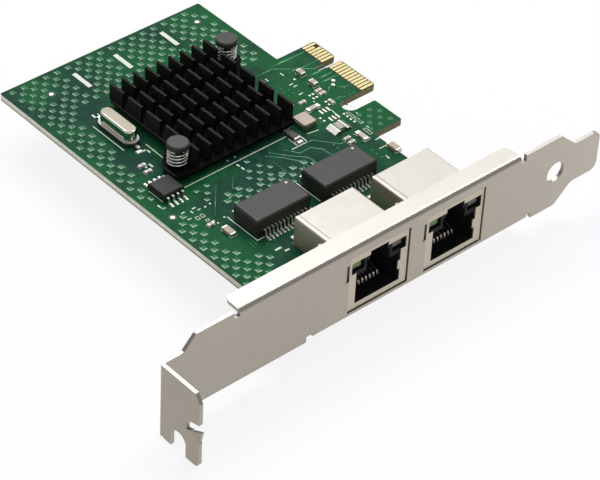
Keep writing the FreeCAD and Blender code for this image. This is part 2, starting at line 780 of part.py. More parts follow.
def bracket():
    """The whole bracket: plate, bends, screw tab, flanges, port windows and ears."""
    plate = front_slab(bracket_plate_points(), PLATE_FRONT, PLATE_BACK)
    cutters = []
    half = JACK_WIDTH / 2 + WINDOW_GAP
    y0 = PLATE_FRONT - OVERCUT
    y1 = PLATE_BACK + OVERCUT
    for centre in jack_centres():
        z0 = JACK_LOW - WINDOW_GAP
        z1 = JACK_TOP + WINDOW_GAP
        cutters.append(box(centre - half, centre + half, y0, y1, z0, z1))
    for fold, _, _ in bracket_ears():
        z0 = TOP + EAR_ROOT - EAR_RELIEF
        z1 = TOP + EAR_HEIGHT + EAR_RELIEF
        cutters.append(box(fold - BEND_RADIUS, fold + OVERCUT, y0, y1, z0, z1))
    hole_x = TAB_FACE + BRACKET_LENGTH - TONGUE_HOLE_FROM_END
    hole_z = (PLATE_TOP + PLATE_LOW) / 2
    hole = Part.makeCylinder(TONGUE_HOLE / 2, 3 * SHEET, V(hole_x, PLATE_FRONT - SHEET, hole_z), V(0, 1, 0))
    cutters.append(hole)
    plate = plate.cut(cutters)
    pieces = [
        tab_bend(),
        screw_tab(),
        bracket_flange(UPPER_FLANGE_START, UPPER_FLANGE_END, 1),
        bracket_flange(LOWER_FLANGE_START, LOWER_FLANGE_END, -1),
    ]
    for fold, width, inset in bracket_ears():
        pieces.append(ear_root(fold))
        pieces.append(ear_foot(fold, width, inset))
    return plate.fuse(pieces).removeSplitter()


def bracket_screw(x, y):
    """Pan head screw, driven from the solder side up into an ear."""
    head = rod(SCREW_HEAD / 2, x, y, BOTTOM - SCREW_HEAD_HEIGHT, BOTTOM)
    rim = [edge for edge in head.Edges if edge.BoundBox.ZMax < BOTTOM - SCREW_HEAD_HEIGHT / 2]
    head = head.makeChamfer(SCREW_HEAD_ROUND, rim)
    shank = rod(SCREW_THREAD / 2, x, y, BOTTOM, TOP + SHEET + SCREW_TIP)
    low = BOTTOM - SCREW_HEAD_HEIGHT
    half_width = CROSS_WIDTH / 2
    half_length = CROSS_LENGTH / 2
    one = box(x - half_width, x + half_width, y - half_length, y + half_length, low, low + CROSS_DEPTH)
    two = box(x - half_length, x + half_length, y - half_width, y + half_width, low, low + CROSS_DEPTH)
    return head.fuse(shank).cut([one, two]).removeSplitter()


def contact_path():
    """Middle line of a jack contact, as (y, z), from its free end to its tail on the board."""
    front = JACK_FRONT
    low = JACK_LOW
    tail_level = TOP + CONTACT_THICKNESS / 2
    return [
        (front + CONTACT_FREE_DEPTH, low + CONTACT_FREE_HEIGHT),
        (front + CONTACT_BEND_DEPTH, low + CAVITY_FLOOR + CONTACT_THICKNESS * 3),
        (front + CONTACT_BEND_DEPTH - CONTACT_THICKNESS, low + CAVITY_FLOOR),
        (front + CONTACT_BEND_DEPTH, low + CONTACT_FLOOR_RUN),
        (front + CONTACT_RISER_DEPTH, low + CONTACT_FLOOR_RUN),
        (front + CONTACT_RISER_DEPTH, tail_level),
        (JACK_BACK + CONTACT_TAIL_LENGTH, tail_level),
    ]


def contact_places(centre):
    """Middles of the contacts of the jack at this centre."""
    first = centre - CONTACT_PITCH * (CONTACT_COUNT - 1) / 2
    return [first + CONTACT_PITCH * number for number in range(CONTACT_COUNT)]


def jack_contacts(centre):
    """The spring contacts of a jack."""
    points = ribbon(contact_path(), CONTACT_THICKNESS)
    half = CONTACT_WIDTH / 2
    return [side_slab(points, x - half, x + half) for x in contact_places(centre)]


def contact_channel(centre):
    """Wide channel in the housing that the contacts of a jack lie in."""
    points = ribbon(contact_path(), CONTACT_THICKNESS + 2 * CONTACT_CHANNEL_GAP)
    places = contact_places(centre)
    half = CONTACT_WIDTH / 2 + CONTACT_CHANNEL_GAP
    return side_slab(points, places[0] - half, places[-1] + half)


def jack_section(centre, inset, low):
    """Front view of a jack above this level, brought in by this much."""
    x0 = centre - JACK_WIDTH / 2 + inset
    x1 = centre + JACK_WIDTH / 2 - inset
    radius = SHIELD_CORNER - inset
    return [
        (x0, low),
        (x0, JACK_TOP - inset, radius),
        (x1, JACK_TOP - inset, radius),
        (x1, low),
    ]


def aperture_points(centre):
    """Opening in the shield's front, as (x, z): plug hole, lights and latch."""
    half = APERTURE_WIDTH / 2
    band = JACK_WIDTH / 2 - APERTURE_BAND_INSET
    latch = APERTURE_LATCH_WIDTH / 2
    finger = half - SHIELD_FINGER_REACH
    heights = [
        (-half, APERTURE_BOTTOM),
        (-half, APERTURE_BAND_BOTTOM),
        (-band, APERTURE_BAND_BOTTOM),
        (-band, APERTURE_BAND_TOP),
        (-latch, APERTURE_BAND_TOP),
        (-latch, APERTURE_LATCH_TOP),
        (latch, APERTURE_LATCH_TOP),
        (latch, APERTURE_BAND_TOP),
        (band, APERTURE_BAND_TOP),
        (band, APERTURE_BAND_BOTTOM),
        (half, APERTURE_BAND_BOTTOM),
        (half, SHIELD_FINGER_TOP),
        (finger, SHIELD_FINGER_TOP),
        (finger, SHIELD_FINGER_BOTTOM),
        (half, SHIELD_FINGER_BOTTOM),
        (half, APERTURE_BOTTOM),
    ]
    return [(centre + x, JACK_LOW + z) for x, z in heights]


def jack_shield(centre):
    """Folded metal can of a jack, with its front opening and rear feet."""
    can = front_slab(jack_section(centre, 0, JACK_LOW), JACK_FRONT, JACK_BACK)
    hollow = jack_section(centre, SHIELD_WALL, JACK_LOW - OVERCUT)
    inside = front_slab(hollow, JACK_FRONT + SHIELD_WALL, JACK_BACK - SHIELD_WALL)
    opening = front_slab(aperture_points(centre), JACK_FRONT - OVERCUT, JACK_FRONT + OVERCUT)
    behind = JACK_BACK + OVERCUT
    tail_half = CONTACT_PITCH * CONTACT_COUNT / 2
    tail_top = TOP + CONTACT_WINDOW_ABOVE
    tail_low = TOP - CONTACT_WINDOW_BELOW
    tail_way = box(centre - tail_half, centre + tail_half, JACK_BACK - OVERCUT, behind, tail_low, tail_top)
    seam_x = centre - JACK_WIDTH / 2 + SHIELD_SEAM_INSET
    seam_low = JACK_TOP - SHIELD_SEAM_DEPTH
    seam = box(seam_x, seam_x + SHIELD_SEAM, PLATE_BACK, behind, seam_low, JACK_TOP + OVERCUT)
    can = can.cut([inside, opening, tail_way, seam])
    feet = []
    for side in (-1, 1):
        middle = centre + side * SHIELD_FOOT_OFFSET
        x0 = middle - SHIELD_FOOT_WIDTH / 2
        x1 = middle + SHIELD_FOOT_WIDTH / 2
        end = JACK_BACK + SHIELD_FOOT_LENGTH
        feet.append(box(x0, x1, JACK_BACK - SHIELD_WALL, end, TOP, TOP + SHIELD_WALL))
    return can.fuse(feet).removeSplitter()


def light_block(centre, side, grow=0):
    """Block of a light in the jack, or, grown, the pocket it sits in."""
    middle = centre + side * LIGHT_CENTRE
    front = JACK_FRONT + LIGHT_SETBACK - (2 * OVERCUT if grow else 0)
    back = JACK_FRONT + LIGHT_SETBACK + LIGHT_LENGTH + grow
    half = LIGHT_WIDTH / 2 + grow
    low = JACK_LOW + LIGHT_BOTTOM - grow
    high = JACK_LOW + LIGHT_BOTTOM + LIGHT_HEIGHT + grow
    return box(middle - half, middle + half, front, back, low, high)


def jack_light(centre, side):
    """Rectangular light with a domed front."""
    block = light_block(centre, side)
    front = JACK_FRONT + LIGHT_SETBACK
    rim = [edge for edge in block.Edges if edge.BoundBox.YMax < front + LIGHT_DOME]
    return block.makeFillet(LIGHT_DOME, rim)


def jack_housing(centre):
    """Plastic body inside the shield, with the plug cavity, latch slot and channels."""
    inset = SHIELD_WALL + SHIELD_FIT
    section = jack_section(centre, inset, JACK_LOW + SHIELD_FIT)
    body = front_slab(section, JACK_FRONT + inset, JACK_BACK - inset)
    open_front = JACK_FRONT - OVERCUT
    steps = (
        (CAVITY_WIDTH, CAVITY_FLOOR, CAVITY_TOP),
        (LATCH_STEP_WIDTH, CAVITY_TOP, LATCH_STEP_TOP),
        (LATCH_SLOT_WIDTH, LATCH_STEP_TOP, LATCH_SLOT_TOP),
    )
    cutters = []
    for width, low, high in steps:
        depth = JACK_FRONT + CAVITY_DEPTH
        half = width / 2
        cutters.append(
            box(centre - half, centre + half, open_front, depth, JACK_LOW + low, JACK_LOW + high)
        )
    for side in (-1, 1):
        cutters.append(light_block(centre, side, LIGHT_FIT))
    cutters.append(contact_channel(centre))
    return body.cut(cutters).removeSplitter()


def lead_row(xs, edge_y, way, exit_height, reach, width):
    """Bent leads of a package along x, leaving the side at edge_y towards way."""
    half = LEAD_THICKNESS / 2
    knee = reach * 0.36
    drop = reach * 0.5
    path = [
        (edge_y, TOP + exit_height),
        (edge_y + way * knee, TOP + exit_height),
        (edge_y + way * drop, TOP + half),
        (edge_y + way * reach, TOP + half),
    ]
    points = ribbon(path, LEAD_THICKNESS)
    return [side_slab(points, x - width / 2, x + width / 2) for x in xs]


def moulded_body(x, y, length, width, low, high, bevel):
    """Moulded package with bevelled upper edges."""
    body = box(x - length / 2, x + length / 2, y - width / 2, y + width / 2, low, high)
    edges = [edge for edge in body.Edges if edge.BoundBox.ZMin > high - 0.01]
    return body.makeChamfer(bevel, edges)


def transformer_body(x):
    """Moulded case of a line transformer."""
    y = -TRANSFORMER_FROM_KEY
    low = TOP + TRANSFORMER_STANDOFF
    high = TOP + TRANSFORMER_TOP
    return moulded_body(x, y, TRANSFORMER_LENGTH, TRANSFORMER_WIDTH, low, high, TRANSFORMER_CHAMFER)


def transformer_pins(x):
    """Bent pins along both long sides of a line transformer."""
    span = TRANSFORMER_PIN_PITCH * (TRANSFORMER_PINS - 1)
    xs = [x - span / 2 + TRANSFORMER_PIN_PITCH * n for n in range(TRANSFORMER_PINS)]
    pins = []
    for way in (-1, 1):
        edge_y = -TRANSFORMER_FROM_KEY + way * TRANSFORMER_WIDTH / 2
        pins += lead_row(
            xs, edge_y, way, TRANSFORMER_PIN_EXIT, TRANSFORMER_PIN_REACH, TRANSFORMER_PIN_WIDTH
        )
    return pins


def square_plate(side, z0, z1):
    """Square plate centred under the heat sink."""
    half = side / 2
    return box(HEATSINK_X - half, HEATSINK_X + half, HEATSINK_Y - half, HEATSINK_Y + half, z0, z1)


def solder_joints():
    """Square grid of short posts, the solder joints under the controller package."""
    start = -JOINT_PITCH * (JOINT_ROWS - 1) / 2
    angles = [2 * math.pi * side / JOINT_SIDES for side in range(JOINT_SIDES)]
    corners = [(math.cos(angle) * JOINT_WIDTH / 2, math.sin(angle) * JOINT_WIDTH / 2) for angle in angles]
    joints = []
    for row in range(JOINT_ROWS):
        for column in range(JOINT_ROWS):
            x = HEATSINK_X + start + JOINT_PITCH * column
            y = HEATSINK_Y + start + JOINT_PITCH * row
            joints.append(level_slab([(x + a, y + b) for a, b in corners], TOP, PACKAGE_LOW))
    return joints


def sink_base_points():
    """Outline of the heat sink's base with its two lugs, the same turned half round."""
    half_x = SINK_WIDTH / 2
    half_y = SINK_LENGTH / 2
    lug_x = PIN_OFFSET_X + EAR_LUG
    half = [
        (-half_x, -PIN_OFFSET_Y + EAR_LUG_TAPER),
        (-lug_x, -PIN_OFFSET_Y + EAR_LUG_SHOULDER, EAR_LUG_RADIUS),
        (-lug_x, -half_y, EAR_LUG_RADIUS),
        (half_x, -half_y, SINK_CORNER),
    ]
    whole = half + [(-point[0], -point[1], *point[2:]) for point in half]
    return [(HEATSINK_X + p[0], HEATSINK_Y + p[1], *p[2:]) for p in whole]


def heatsink():
    """Base plate with lugs and a grid of thin fins."""
    base = level_slab(sink_base_points(), SINK_LOW, SINK_FLOOR)
    fins = []
    for column in range(FIN_COLUMNS):
        x = HEATSINK_X + FIN_PITCH * (column - (FIN_COLUMNS - 1) / 2)
        for row in range(FIN_ROWS):
            y = HEATSINK_Y + FIN_SHIFT + FIN_ROW_PITCH * (row - (FIN_ROWS - 1) / 2)
            x0 = x - FIN_THICKNESS / 2
            y0 = y - FIN_LENGTH / 2
            fins.append(box(x0, x0 + FIN_THICKNESS, y0, y0 + FIN_LENGTH, SINK_FLOOR, TOP + SINK_TOP))
    holes = []
    for x, y in sink_pins():
        holes.append(rod(PIN_SHANK / 2 + PIN_HOLE_GAP, x, y, SINK_LOW - OVERCUT, SINK_FLOOR + OVERCUT))
    return base.cut(holes).fuse(fins).removeSplitter()


def push_pin(x, y):
    """Push pin: flat head, shank and split barb below the board."""
    head = rod(PIN_HEAD / 2, x, y, PIN_HEAD_LOW, TOP + PIN_TOP)
    rim = [edge for edge in head.Edges if edge.BoundBox.ZMin > PIN_HEAD_LOW + PIN_HEAD_HEIGHT / 2]
    head = head.makeChamfer(PIN_HEAD_ROUND, rim)
    barb_top = BOTTOM - PIN_BARB_GAP
    shank = rod(PIN_SHANK / 2, x, y, barb_top, PIN_HEAD_LOW)
    low = barb_top - PIN_BARB_LENGTH
    barb = Part.makeCone(PIN_TIP / 2, PIN_BARB / 2, PIN_BARB_LENGTH, V(x, y, low))
    half = PIN_SLIT / 2
    slit = box(x - half, x + half, y - PIN_BARB, y + PIN_BARB, low - OVERCUT, BOTTOM + BOARD_THICKNESS / 2)
    return head.fuse([shank, barb]).cut(slit).removeSplitter()


def spring_ring(x, y, height, turn):
    """Corners of the coil's wire section at this height and turn."""
    radius = (SPRING_DIAMETER - SPRING_WIRE) / 2
    around = 2 * math.pi * turn
    ring = []
    for side in range(SPRING_SIDES):
        angle = 2 * math.pi * side / SPRING_SIDES
        reach = radius + SPRING_WIRE / 2 * math.cos(angle)
        level = height + SPRING_WIRE / 2 * math.sin(angle)
        ring.append(V(x + reach * math.cos(around), y + reach * math.sin(around), level))
    return ring


def push_pin_spring(x, y):
    """Coil spring between a lug of the heat sink and the head of its pin, in flat facets."""
    start = SINK_FLOOR + SPRING_WIRE / 2 + SPRING_END_GAP
    end = PIN_HEAD_LOW - SPRING_WIRE / 2 - SPRING_END_GAP
    steps = round(SPRING_TURNS * SPRING_STEPS)
    rings = []
    for step in range(steps + 1):
        share = step / steps
        rings.append(spring_ring(x, y, start + (end - start) * share, SPRING_TURNS * share))
    facets = []
    for one, two in zip(rings, rings[1:]):
        for side in range(SPRING_SIDES):
            after = (side + 1) % SPRING_SIDES
            facets.append((one[side], one[after], two[side]))
            facets.append((one[after], two[after], two[side]))
    facets.append(rings[0][::-1])
    facets.append(rings[-1])
    faces = [Part.Face(Part.makePolygon(list(facet) + [facet[0]])) for facet in facets]
    coil = Part.Solid(Part.Shell(faces))
    if coil.Volume < 0:
        coil.reverse()
    return coil


def stadium(length, width, z0, z1):
    """Plate with round ends, long side along y, at the crystal's place."""
    radius = width / 2
    straight = length / 2 - radius
    middle = box(
        CRYSTAL_X - radius, CRYSTAL_X + radius, CRYSTAL_Y - straight, CRYSTAL_Y + straight, z0, z1
    )
    ends = [rod(radius, CRYSTAL_X, CRYSTAL_Y + side * straight, z0, z1) for side in (-1, 1)]
    return middle.fuse(ends).removeSplitter()


def crystal_can():
    """Drawn metal can with its flange."""
    low = TOP + CRYSTAL_BASE_HEIGHT
    middle = low + CRYSTAL_FLANGE_HEIGHT
    can = stadium(CRYSTAL_CAN_LENGTH, CRYSTAL_CAN_WIDTH, middle, TOP + CRYSTAL_TOP)
    edges = [edge for edge in can.Edges if edge.BoundBox.ZMin > TOP + CRYSTAL_TOP - 0.01]
    can = can.makeFillet(CRYSTAL_ROUND, edges)
    flange = stadium(CRYSTAL_FLANGE_LENGTH, CRYSTAL_FLANGE_WIDTH, low, middle)
    return flange.fuse(can).removeSplitter()


def crystal_leads():
    """Flat leads under the insulating base, one to each end."""
    half = CRYSTAL_LEAD_WIDTH / 2
    reach = CRYSTAL_FLANGE_LENGTH / 2
    leads = []
    for side in (-1, 1):
        inner = CRYSTAL_Y + side * (reach - CRYSTAL_LEAD_INSIDE)
        outer = CRYSTAL_Y + side * (reach + CRYSTAL_LEAD_REACH)
        y0 = min(inner, outer)
        y1 = max(inner, outer)
        leads.append(
            box(CRYSTAL_X - half, CRYSTAL_X + half, y0, y1, TOP, TOP + CRYSTAL_LEAD_THICKNESS)
        )
    return leads


def crystal_base():
    """Insulating base with a groove for each lead."""
    base = stadium(CRYSTAL_FLANGE_LENGTH, CRYSTAL_FLANGE_WIDTH, TOP, TOP + CRYSTAL_BASE_HEIGHT)
    return base.cut(crystal_leads()).removeSplitter()


def memory_body():
    """Moulded body of the memory chip."""
    low = TOP + MEMORY_STANDOFF
    high = TOP + MEMORY_TOP
    return moulded_body(MEMORY_X, MEMORY_Y, MEMORY_SIDE, MEMORY_SIDE, low, high, MEMORY_CHAMFER)


def memory_leads():
    """Bent leads at the front and rear of the memory chip."""
    span = MEMORY_LEAD_PITCH * (MEMORY_LEADS - 1)
    xs = [MEMORY_X - span / 2 + MEMORY_LEAD_PITCH * n for n in range(MEMORY_LEADS)]
    leads = []
    for way in (-1, 1):
        edge_y = MEMORY_Y + way * MEMORY_SIDE / 2
        leads += lead_row(xs, edge_y, way, MEMORY_LEAD_EXIT, MEMORY_LEAD_REACH, MEMORY_LEAD_WIDTH)
    return leads


def oscillator_base():
    """Ceramic base with a hollow at each corner for its solder joints."""
    half_x = OSCILLATOR_WIDTH / 2
    half_y = OSCILLATOR_LENGTH / 2
    high = TOP + OSCILLATOR_BASE
    x0 = OSCILLATOR_X - half_x
    x1 = OSCILLATOR_X + half_x
    y0 = OSCILLATOR_Y - half_y
    y1 = OSCILLATOR_Y + half_y
    base = box(x0, x1, y0, y1, TOP, high)
    corners = [(x, y) for x in (x0, x1) for y in (y0, y1)]
    hollows = [rod(OSCILLATOR_CORNER, x, y, TOP - OVERCUT, high + OVERCUT) for x, y in corners]
    return base.cut(hollows)


def oscillator_lid():
    """Metal lid on the ceramic base."""
    half_x = OSCILLATOR_WIDTH / 2 - OSCILLATOR_RIM
    half_y = OSCILLATOR_LENGTH / 2 - OSCILLATOR_RIM
    low = TOP + OSCILLATOR_BASE
    points = [
        (OSCILLATOR_X - half_x, OSCILLATOR_Y - half_y, OSCILLATOR_CORNER),
        (OSCILLATOR_X + half_x, OSCILLATOR_Y - half_y, OSCILLATOR_CORNER),
        (OSCILLATOR_X + half_x, OSCILLATOR_Y + half_y, OSCILLATOR_CORNER),
        (OSCILLATOR_X - half_x, OSCILLATOR_Y + half_y, OSCILLATOR_CORNER),
    ]
    return level_slab(points, low, low + OSCILLATOR_LID)


def fuse_body():
    """Ceramic middle of the fuse."""
    half_x = FUSE_BODY_LENGTH / 2
    half_y = FUSE_BODY_WIDTH / 2
    return box(FUSE_X - half_x, FUSE_X + half_x, FUSE_Y - half_y, FUSE_Y + half_y, TOP, TOP + FUSE_HEIGHT)


def fuse_ends():
    """Broad metal ends of the fuse, sloping down to their solder."""
    ends = []
    for side in (-1, 1):
        inner = FUSE_X + side * FUSE_BODY_LENGTH / 2
        outer = FUSE_X + side * FUSE_LENGTH / 2
        points = [
            (inner, TOP),
            (outer, TOP),
            (outer, TOP + FUSE_END_LOW),
            (inner + side * FUSE_END_FLAT, TOP + FUSE_END_TOP),
            (inner, TOP + FUSE_END_TOP),
        ]
        ends.append(front_slab(points, FUSE_Y - FUSE_WIDTH / 2, FUSE_Y + FUSE_WIDTH / 2))
    return ends


def chip_blocks(size, place):
    """Body and two end caps of a chip component."""
    length, width, height, cap = size
    x, y, axis = place
    stretches = ((-length / 2, -length / 2 + cap), (-length / 2 + cap, length / 2 - cap),
                 (length / 2 - cap, length / 2))
    blocks = []
    for start, end in stretches:
        if axis == "x":
            blocks.append(box(x + start, x + end, y - width / 2, y + width / 2, TOP, TOP + height))
        else:
            blocks.append(box(x - width / 2, x + width / 2, y + start, y + end, TOP, TOP + height))
    return blocks[1], [blocks[0], blocks[2]]


def save_chips(name, size, places):
    """Write the bodies and the end caps of one kind of chip component."""
    bodies = []
    caps = []
    for place in places:
        body, ends = chip_blocks(size, place)
        bodies.append(body)
        caps += ends
    save(name + "_bodies", bodies)
    save(name + "_ends", caps)


def solder_pads():
    """Bare round pads and one empty footprint of two rows."""
    high = TOP + PAD_PLATING
    pads = [rod(TEST_PAD / 2, x, y, TOP, high) for x, y in TEST_PAD_PLACES]
    pads += [rod(SMALL_PAD / 2, x, y, TOP, high) for x, y in SMALL_PAD_PLACES]
    for row in (-1, 1):
        for number in range(SPARE_PAD_COUNT):
            x = SPARE_PAD_X + SPARE_PAD_PITCH * (number - (SPARE_PAD_COUNT - 1) / 2)
            y = SPARE_PAD_Y + row * SPARE_PAD_SPAN / 2
            x0 = x - SPARE_PAD_WIDTH / 2
            y0 = y - SPARE_PAD_LENGTH / 2
            pads.append(box(x0, x0 + SPARE_PAD_WIDTH, y0, y0 + SPARE_PAD_LENGTH, TOP, high))
    return pads


def save_jacks():
    """Write the pieces of each jack."""
    for number, centre in enumerate(jack_centres(), 1):
        name = "jack_" + str(number)
        save(name + "_shield", jack_shield(centre))
        save(name + "_housing", jack_housing(centre))
        save(name + "_contacts", jack_contacts(centre))
        save(name + "_green_light", jack_light(centre, -1))
        save(name + "_clear_light", jack_light(centre, 1))


def save_transformers():
    """Write the two line transformers."""
    for number, x in enumerate(TRANSFORMER_X, 1):
        save("transformer_" + str(number) + "_body", transformer_body(x))
        save("transformer_" + str(number) + "_pins", transformer_pins(x))


os.makedirs("parts", exist_ok=True)
save("circuit_board", circuit_board())
save("edge_contacts", edge_contacts())
save("bracket", bracket())
save("bracket_screws", [bracket_screw(x, y) for x, y in bracket_screw_places()])
save_jacks()
save_transformers()
save("controller_package", square_plate(PACKAGE_SIDE, PACKAGE_LOW, PACKAGE_TOP))
save("controller_solder_joints", solder_joints())
save("thermal_pad", square_plate(PAD_SIDE, PACKAGE_TOP, SINK_LOW))
save("heatsink", heatsink())
save("push_pins", [push_pin(x, y) for x, y in sink_pins()])
save("push_pin_springs", [push_pin_spring(x, y) for x, y in sink_pins()])
save("crystal_can", crystal_can())
save("crystal_base", crystal_base())
save("crystal_leads", crystal_leads())
save("memory_body", memory_body())
save("memory_leads", memory_leads())
save("oscillator_base", oscillator_base())
save("oscillator_lid", oscillator_lid())
save("fuse_body", fuse_body())
save("fuse_ends", fuse_ends())
save_chips("large_capacitor", LARGE_CAP, LARGE_CAP_PLACES)
save_chips("medium_capacitor", MEDIUM_CAP, MEDIUM_CAP_PLACES)
save_chips("long_chip", LONG_CHIP, LONG_CHIP_PLACES)
save_chips("small_resistor", SMALL_CHIP, SMALL_CHIP_PLACES)
save_chips("ferrite_bead", FERRITE_BEAD, FERRITE_BEAD_PLACES)
save("solder_pads", solder_pads())
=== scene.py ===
import bpy
import bmesh
import json
import math
from mathutils import Matrix, Vector


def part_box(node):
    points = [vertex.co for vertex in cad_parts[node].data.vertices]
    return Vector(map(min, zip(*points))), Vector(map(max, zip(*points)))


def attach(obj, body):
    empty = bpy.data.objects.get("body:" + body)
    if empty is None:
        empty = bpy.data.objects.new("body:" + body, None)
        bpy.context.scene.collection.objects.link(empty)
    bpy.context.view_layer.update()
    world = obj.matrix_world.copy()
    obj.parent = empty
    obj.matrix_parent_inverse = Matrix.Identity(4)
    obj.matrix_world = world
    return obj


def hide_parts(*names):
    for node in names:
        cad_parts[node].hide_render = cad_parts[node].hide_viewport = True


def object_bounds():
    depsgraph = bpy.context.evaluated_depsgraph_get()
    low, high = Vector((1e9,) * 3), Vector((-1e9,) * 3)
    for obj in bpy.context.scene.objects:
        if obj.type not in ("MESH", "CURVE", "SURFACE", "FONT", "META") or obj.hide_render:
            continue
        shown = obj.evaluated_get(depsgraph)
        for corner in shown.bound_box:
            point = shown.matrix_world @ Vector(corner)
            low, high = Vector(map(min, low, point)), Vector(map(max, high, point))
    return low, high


# The network interface card's looks, in metres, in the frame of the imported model.
# Sizes and places on the card are in millimetres, unless they say otherwise: x from the
# bracket's screw tab, y from the plate's outer face, and height over the board's upper face.

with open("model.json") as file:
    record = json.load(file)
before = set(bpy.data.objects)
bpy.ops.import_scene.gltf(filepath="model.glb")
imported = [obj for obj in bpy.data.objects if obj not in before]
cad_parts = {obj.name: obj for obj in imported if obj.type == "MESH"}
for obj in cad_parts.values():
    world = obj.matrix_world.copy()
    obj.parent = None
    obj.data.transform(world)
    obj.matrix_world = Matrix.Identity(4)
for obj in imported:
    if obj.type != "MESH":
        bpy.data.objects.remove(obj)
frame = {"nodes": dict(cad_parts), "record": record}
NODES = frame["nodes"]
cad_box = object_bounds()

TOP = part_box("circuit_board")[1].z
TAB_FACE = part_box("bracket")[0].x
PLATE_FACE = -0.059


def at(x, y, z=0.0):
    """Place on the card, given in millimetres from the tab, the plate and the board."""
    return Vector((TAB_FACE + x / 1000, PLATE_FACE + y / 1000, TOP + z / 1000))


def x_at(x):
    """The x in metres of a place on the card."""
    return at(x, 0).x


def z_at(z):
    """The z in metres of a height over the board."""
    return at(0, 0, z).z


def on_card(place):
    """The millimetres x, y and height of a place in metres, the other way round from at."""
    return Vector((place.x - TAB_FACE, place.y - PLATE_FACE, place.z - TOP)) * 1000


# Materials

class Graph:
    """Small helper that adds and links the nodes of one material."""

    def __init__(self, name):
        self.material = bpy.data.materials.new(name)
        self.material.use_nodes = True
        self.tree = self.material.node_tree
        self.shader = self.tree.nodes["Principled BSDF"]
        self.point = self.add("ShaderNodeTexCoord").outputs["Object"]

    def add(self, kind, **settings):
        node = self.tree.nodes.new(kind)
        for key, value in settings.items():
            setattr(node, key, value)
        return node

    def link(self, source, target):
        self.tree.links.new(source, target)

    def set(self, **values):
        for key, value in values.items():
            self.shader.inputs[key.replace("_", " ")].default_value = value

    def split(self, vector):
        """The x, y and z of a vector."""
        node = self.add("ShaderNodeSeparateXYZ")
        self.link(vector, node.inputs[0])
        return node.outputs

    def place(self):
        """The x, y and z of the point that is shaded."""
        return self.split(self.point)

    def facing(self, kind="Normal"):
        """The x, y and z of the way that the surface faces."""
        return self.split(self.add("ShaderNodeNewGeometry").outputs[kind])

    def noise(self, scale, detail=2.0, rough=0.55):
        node = self.add("ShaderNodeTexNoise")
        node.inputs["Scale"].default_value = scale
        node.inputs["Detail"].default_value = detail
        node.inputs["Roughness"].default_value = rough
        self.link(self.point, node.inputs["Vector"])
        return node.outputs["Fac"]

    def ramp(self, value, low, high, out_low=0.0, out_high=1.0):
        """From out_low at low to out_high at high, and level beyond them."""
        node = self.add("ShaderNodeMapRange")
        for key, number in zip(("From Min", "From Max", "To Min", "To Max"), (low, high, out_low, out_high)):
            node.inputs[key].default_value = number
        self.link(value, node.inputs["Value"])
        return node.outputs["Result"]

    def above(self, value, level, blur):
        """One from this level on, and nothing a blur below it."""
        return self.ramp(value, level - blur, level)

    def below(self, value, level, blur):
        """One up to this level, and nothing a blur above it."""
        return self.ramp(value, level + blur, level)

    def spread(self, noise, out_low=0.0, out_high=1.0):
        """The middle of a noise, stretched over the whole range."""
        return self.ramp(noise, 0.3, 0.7, out_low, out_high)

    def math(self, operation, one, two=0.0):
        node = self.add("ShaderNodeMath", operation=operation)
        for socket, value in zip(node.inputs, (one, two)):
            if isinstance(value, (int, float)):
                socket.default_value = value
            else:
                self.link(value, socket)
        return node.outputs[0]

    def product(self, *values):
        """All the values multiplied."""
        result = values[0]
        for value in values[1:]:
            result = self.math("MULTIPLY", result, value)
        return result

    def mix(self, factor, one, two):
        node = self.add("ShaderNodeMix", data_type="RGBA")
        for socket, value in ((node.inputs[0], factor), (node.inputs[6], one), (node.inputs[7], two)):
            if isinstance(value, (int, float)):
                socket.default_value = value
            elif isinstance(value, tuple):
                socket.default_value = (*value, 1.0)
            else:
                self.link(value, socket)
        return node.outputs[2]

    def colour(self, value):
        self.link(value, self.shader.inputs["Base Color"])

    def rough(self, value):
        self.link(value, self.shader.inputs["Roughness"])

    def bump(self, height, strength, distance):
        node = self.add("ShaderNodeBump")
        node.inputs["Strength"].default_value = strength
        node.inputs["Distance"].default_value = distance
        self.link(height, node.inputs["Height"])
        self.link(node.outputs["Normal"], self.shader.inputs["Normal"])


GLOSS_SPREAD = 0.15
PATCH_SCALE = 0.12
GRAIN_DEPTH = 2e-5


def plain(name, one, two, rough, grain, relief, **more):
    """Material with two close colours in soft patches, uneven gloss and a fine grain."""
    g = Graph(name)
    patches = g.noise(grain * PATCH_SCALE, 3.0)
    g.colour(g.mix(g.spread(patches), one, two))
    fine = g.noise(grain)
    g.rough(g.spread(fine, rough * (1 - GLOSS_SPREAD), rough * (1 + GLOSS_SPREAD)))
    g.set(**more)
    g.bump(fine, relief, GRAIN_DEPTH)
    return g.material


MASK_BARE = (0.009, 0.043, 0.031)
MASK_COPPER = (0.009, 0.098, 0.032)
MASK_LIGHT = (0.02, 0.12, 0.05)
TAB_LAMINATE = (0.075, 0.042, 0.018)
EDGE_CREAM = ((0.82, 0.81, 0.7), (0.7, 0.7, 0.58))
EDGE_BROWN = ((0.27, 0.22, 0.13), (0.2, 0.16, 0.1))
EDGE_SHADE = (0.3, 0.3, 0.22)
# Where the noise turns from bare laminate to copper under the mask
COPPER_TURN = (0.44, 0.6)
# Fields on the board: x0, x1, y0, y1 and the blur of their borders
COPPER_FIELDS = (
    (75.5, 94, 40, 62, 1.5),
    (32, 41, 0, 40, 2.5),
    (36, 46, 42.5, 45.5, 1.0),
    (76, 90, 76, 94, 3),
    (85.2, 99, 30, 43.2, 1.0),
)
BARE_FIELDS = (
    (42, 80, 20, 42, 2.0),
    (40, 47.5, 60, 76, 0.8),
)
BARE_SHARE = 0.75
TAB_END_FIELD = (94.35, 99.5, 45, 75, 0.04)
# Painted shade on the cut edge's lower part fades out upwards between these heights, and the edge turns from
# cream to brown between these x
EDGE_SHADE_FADE = (-1.25, -0.95)
EDGE_TURNING = (78.7, 86.7)


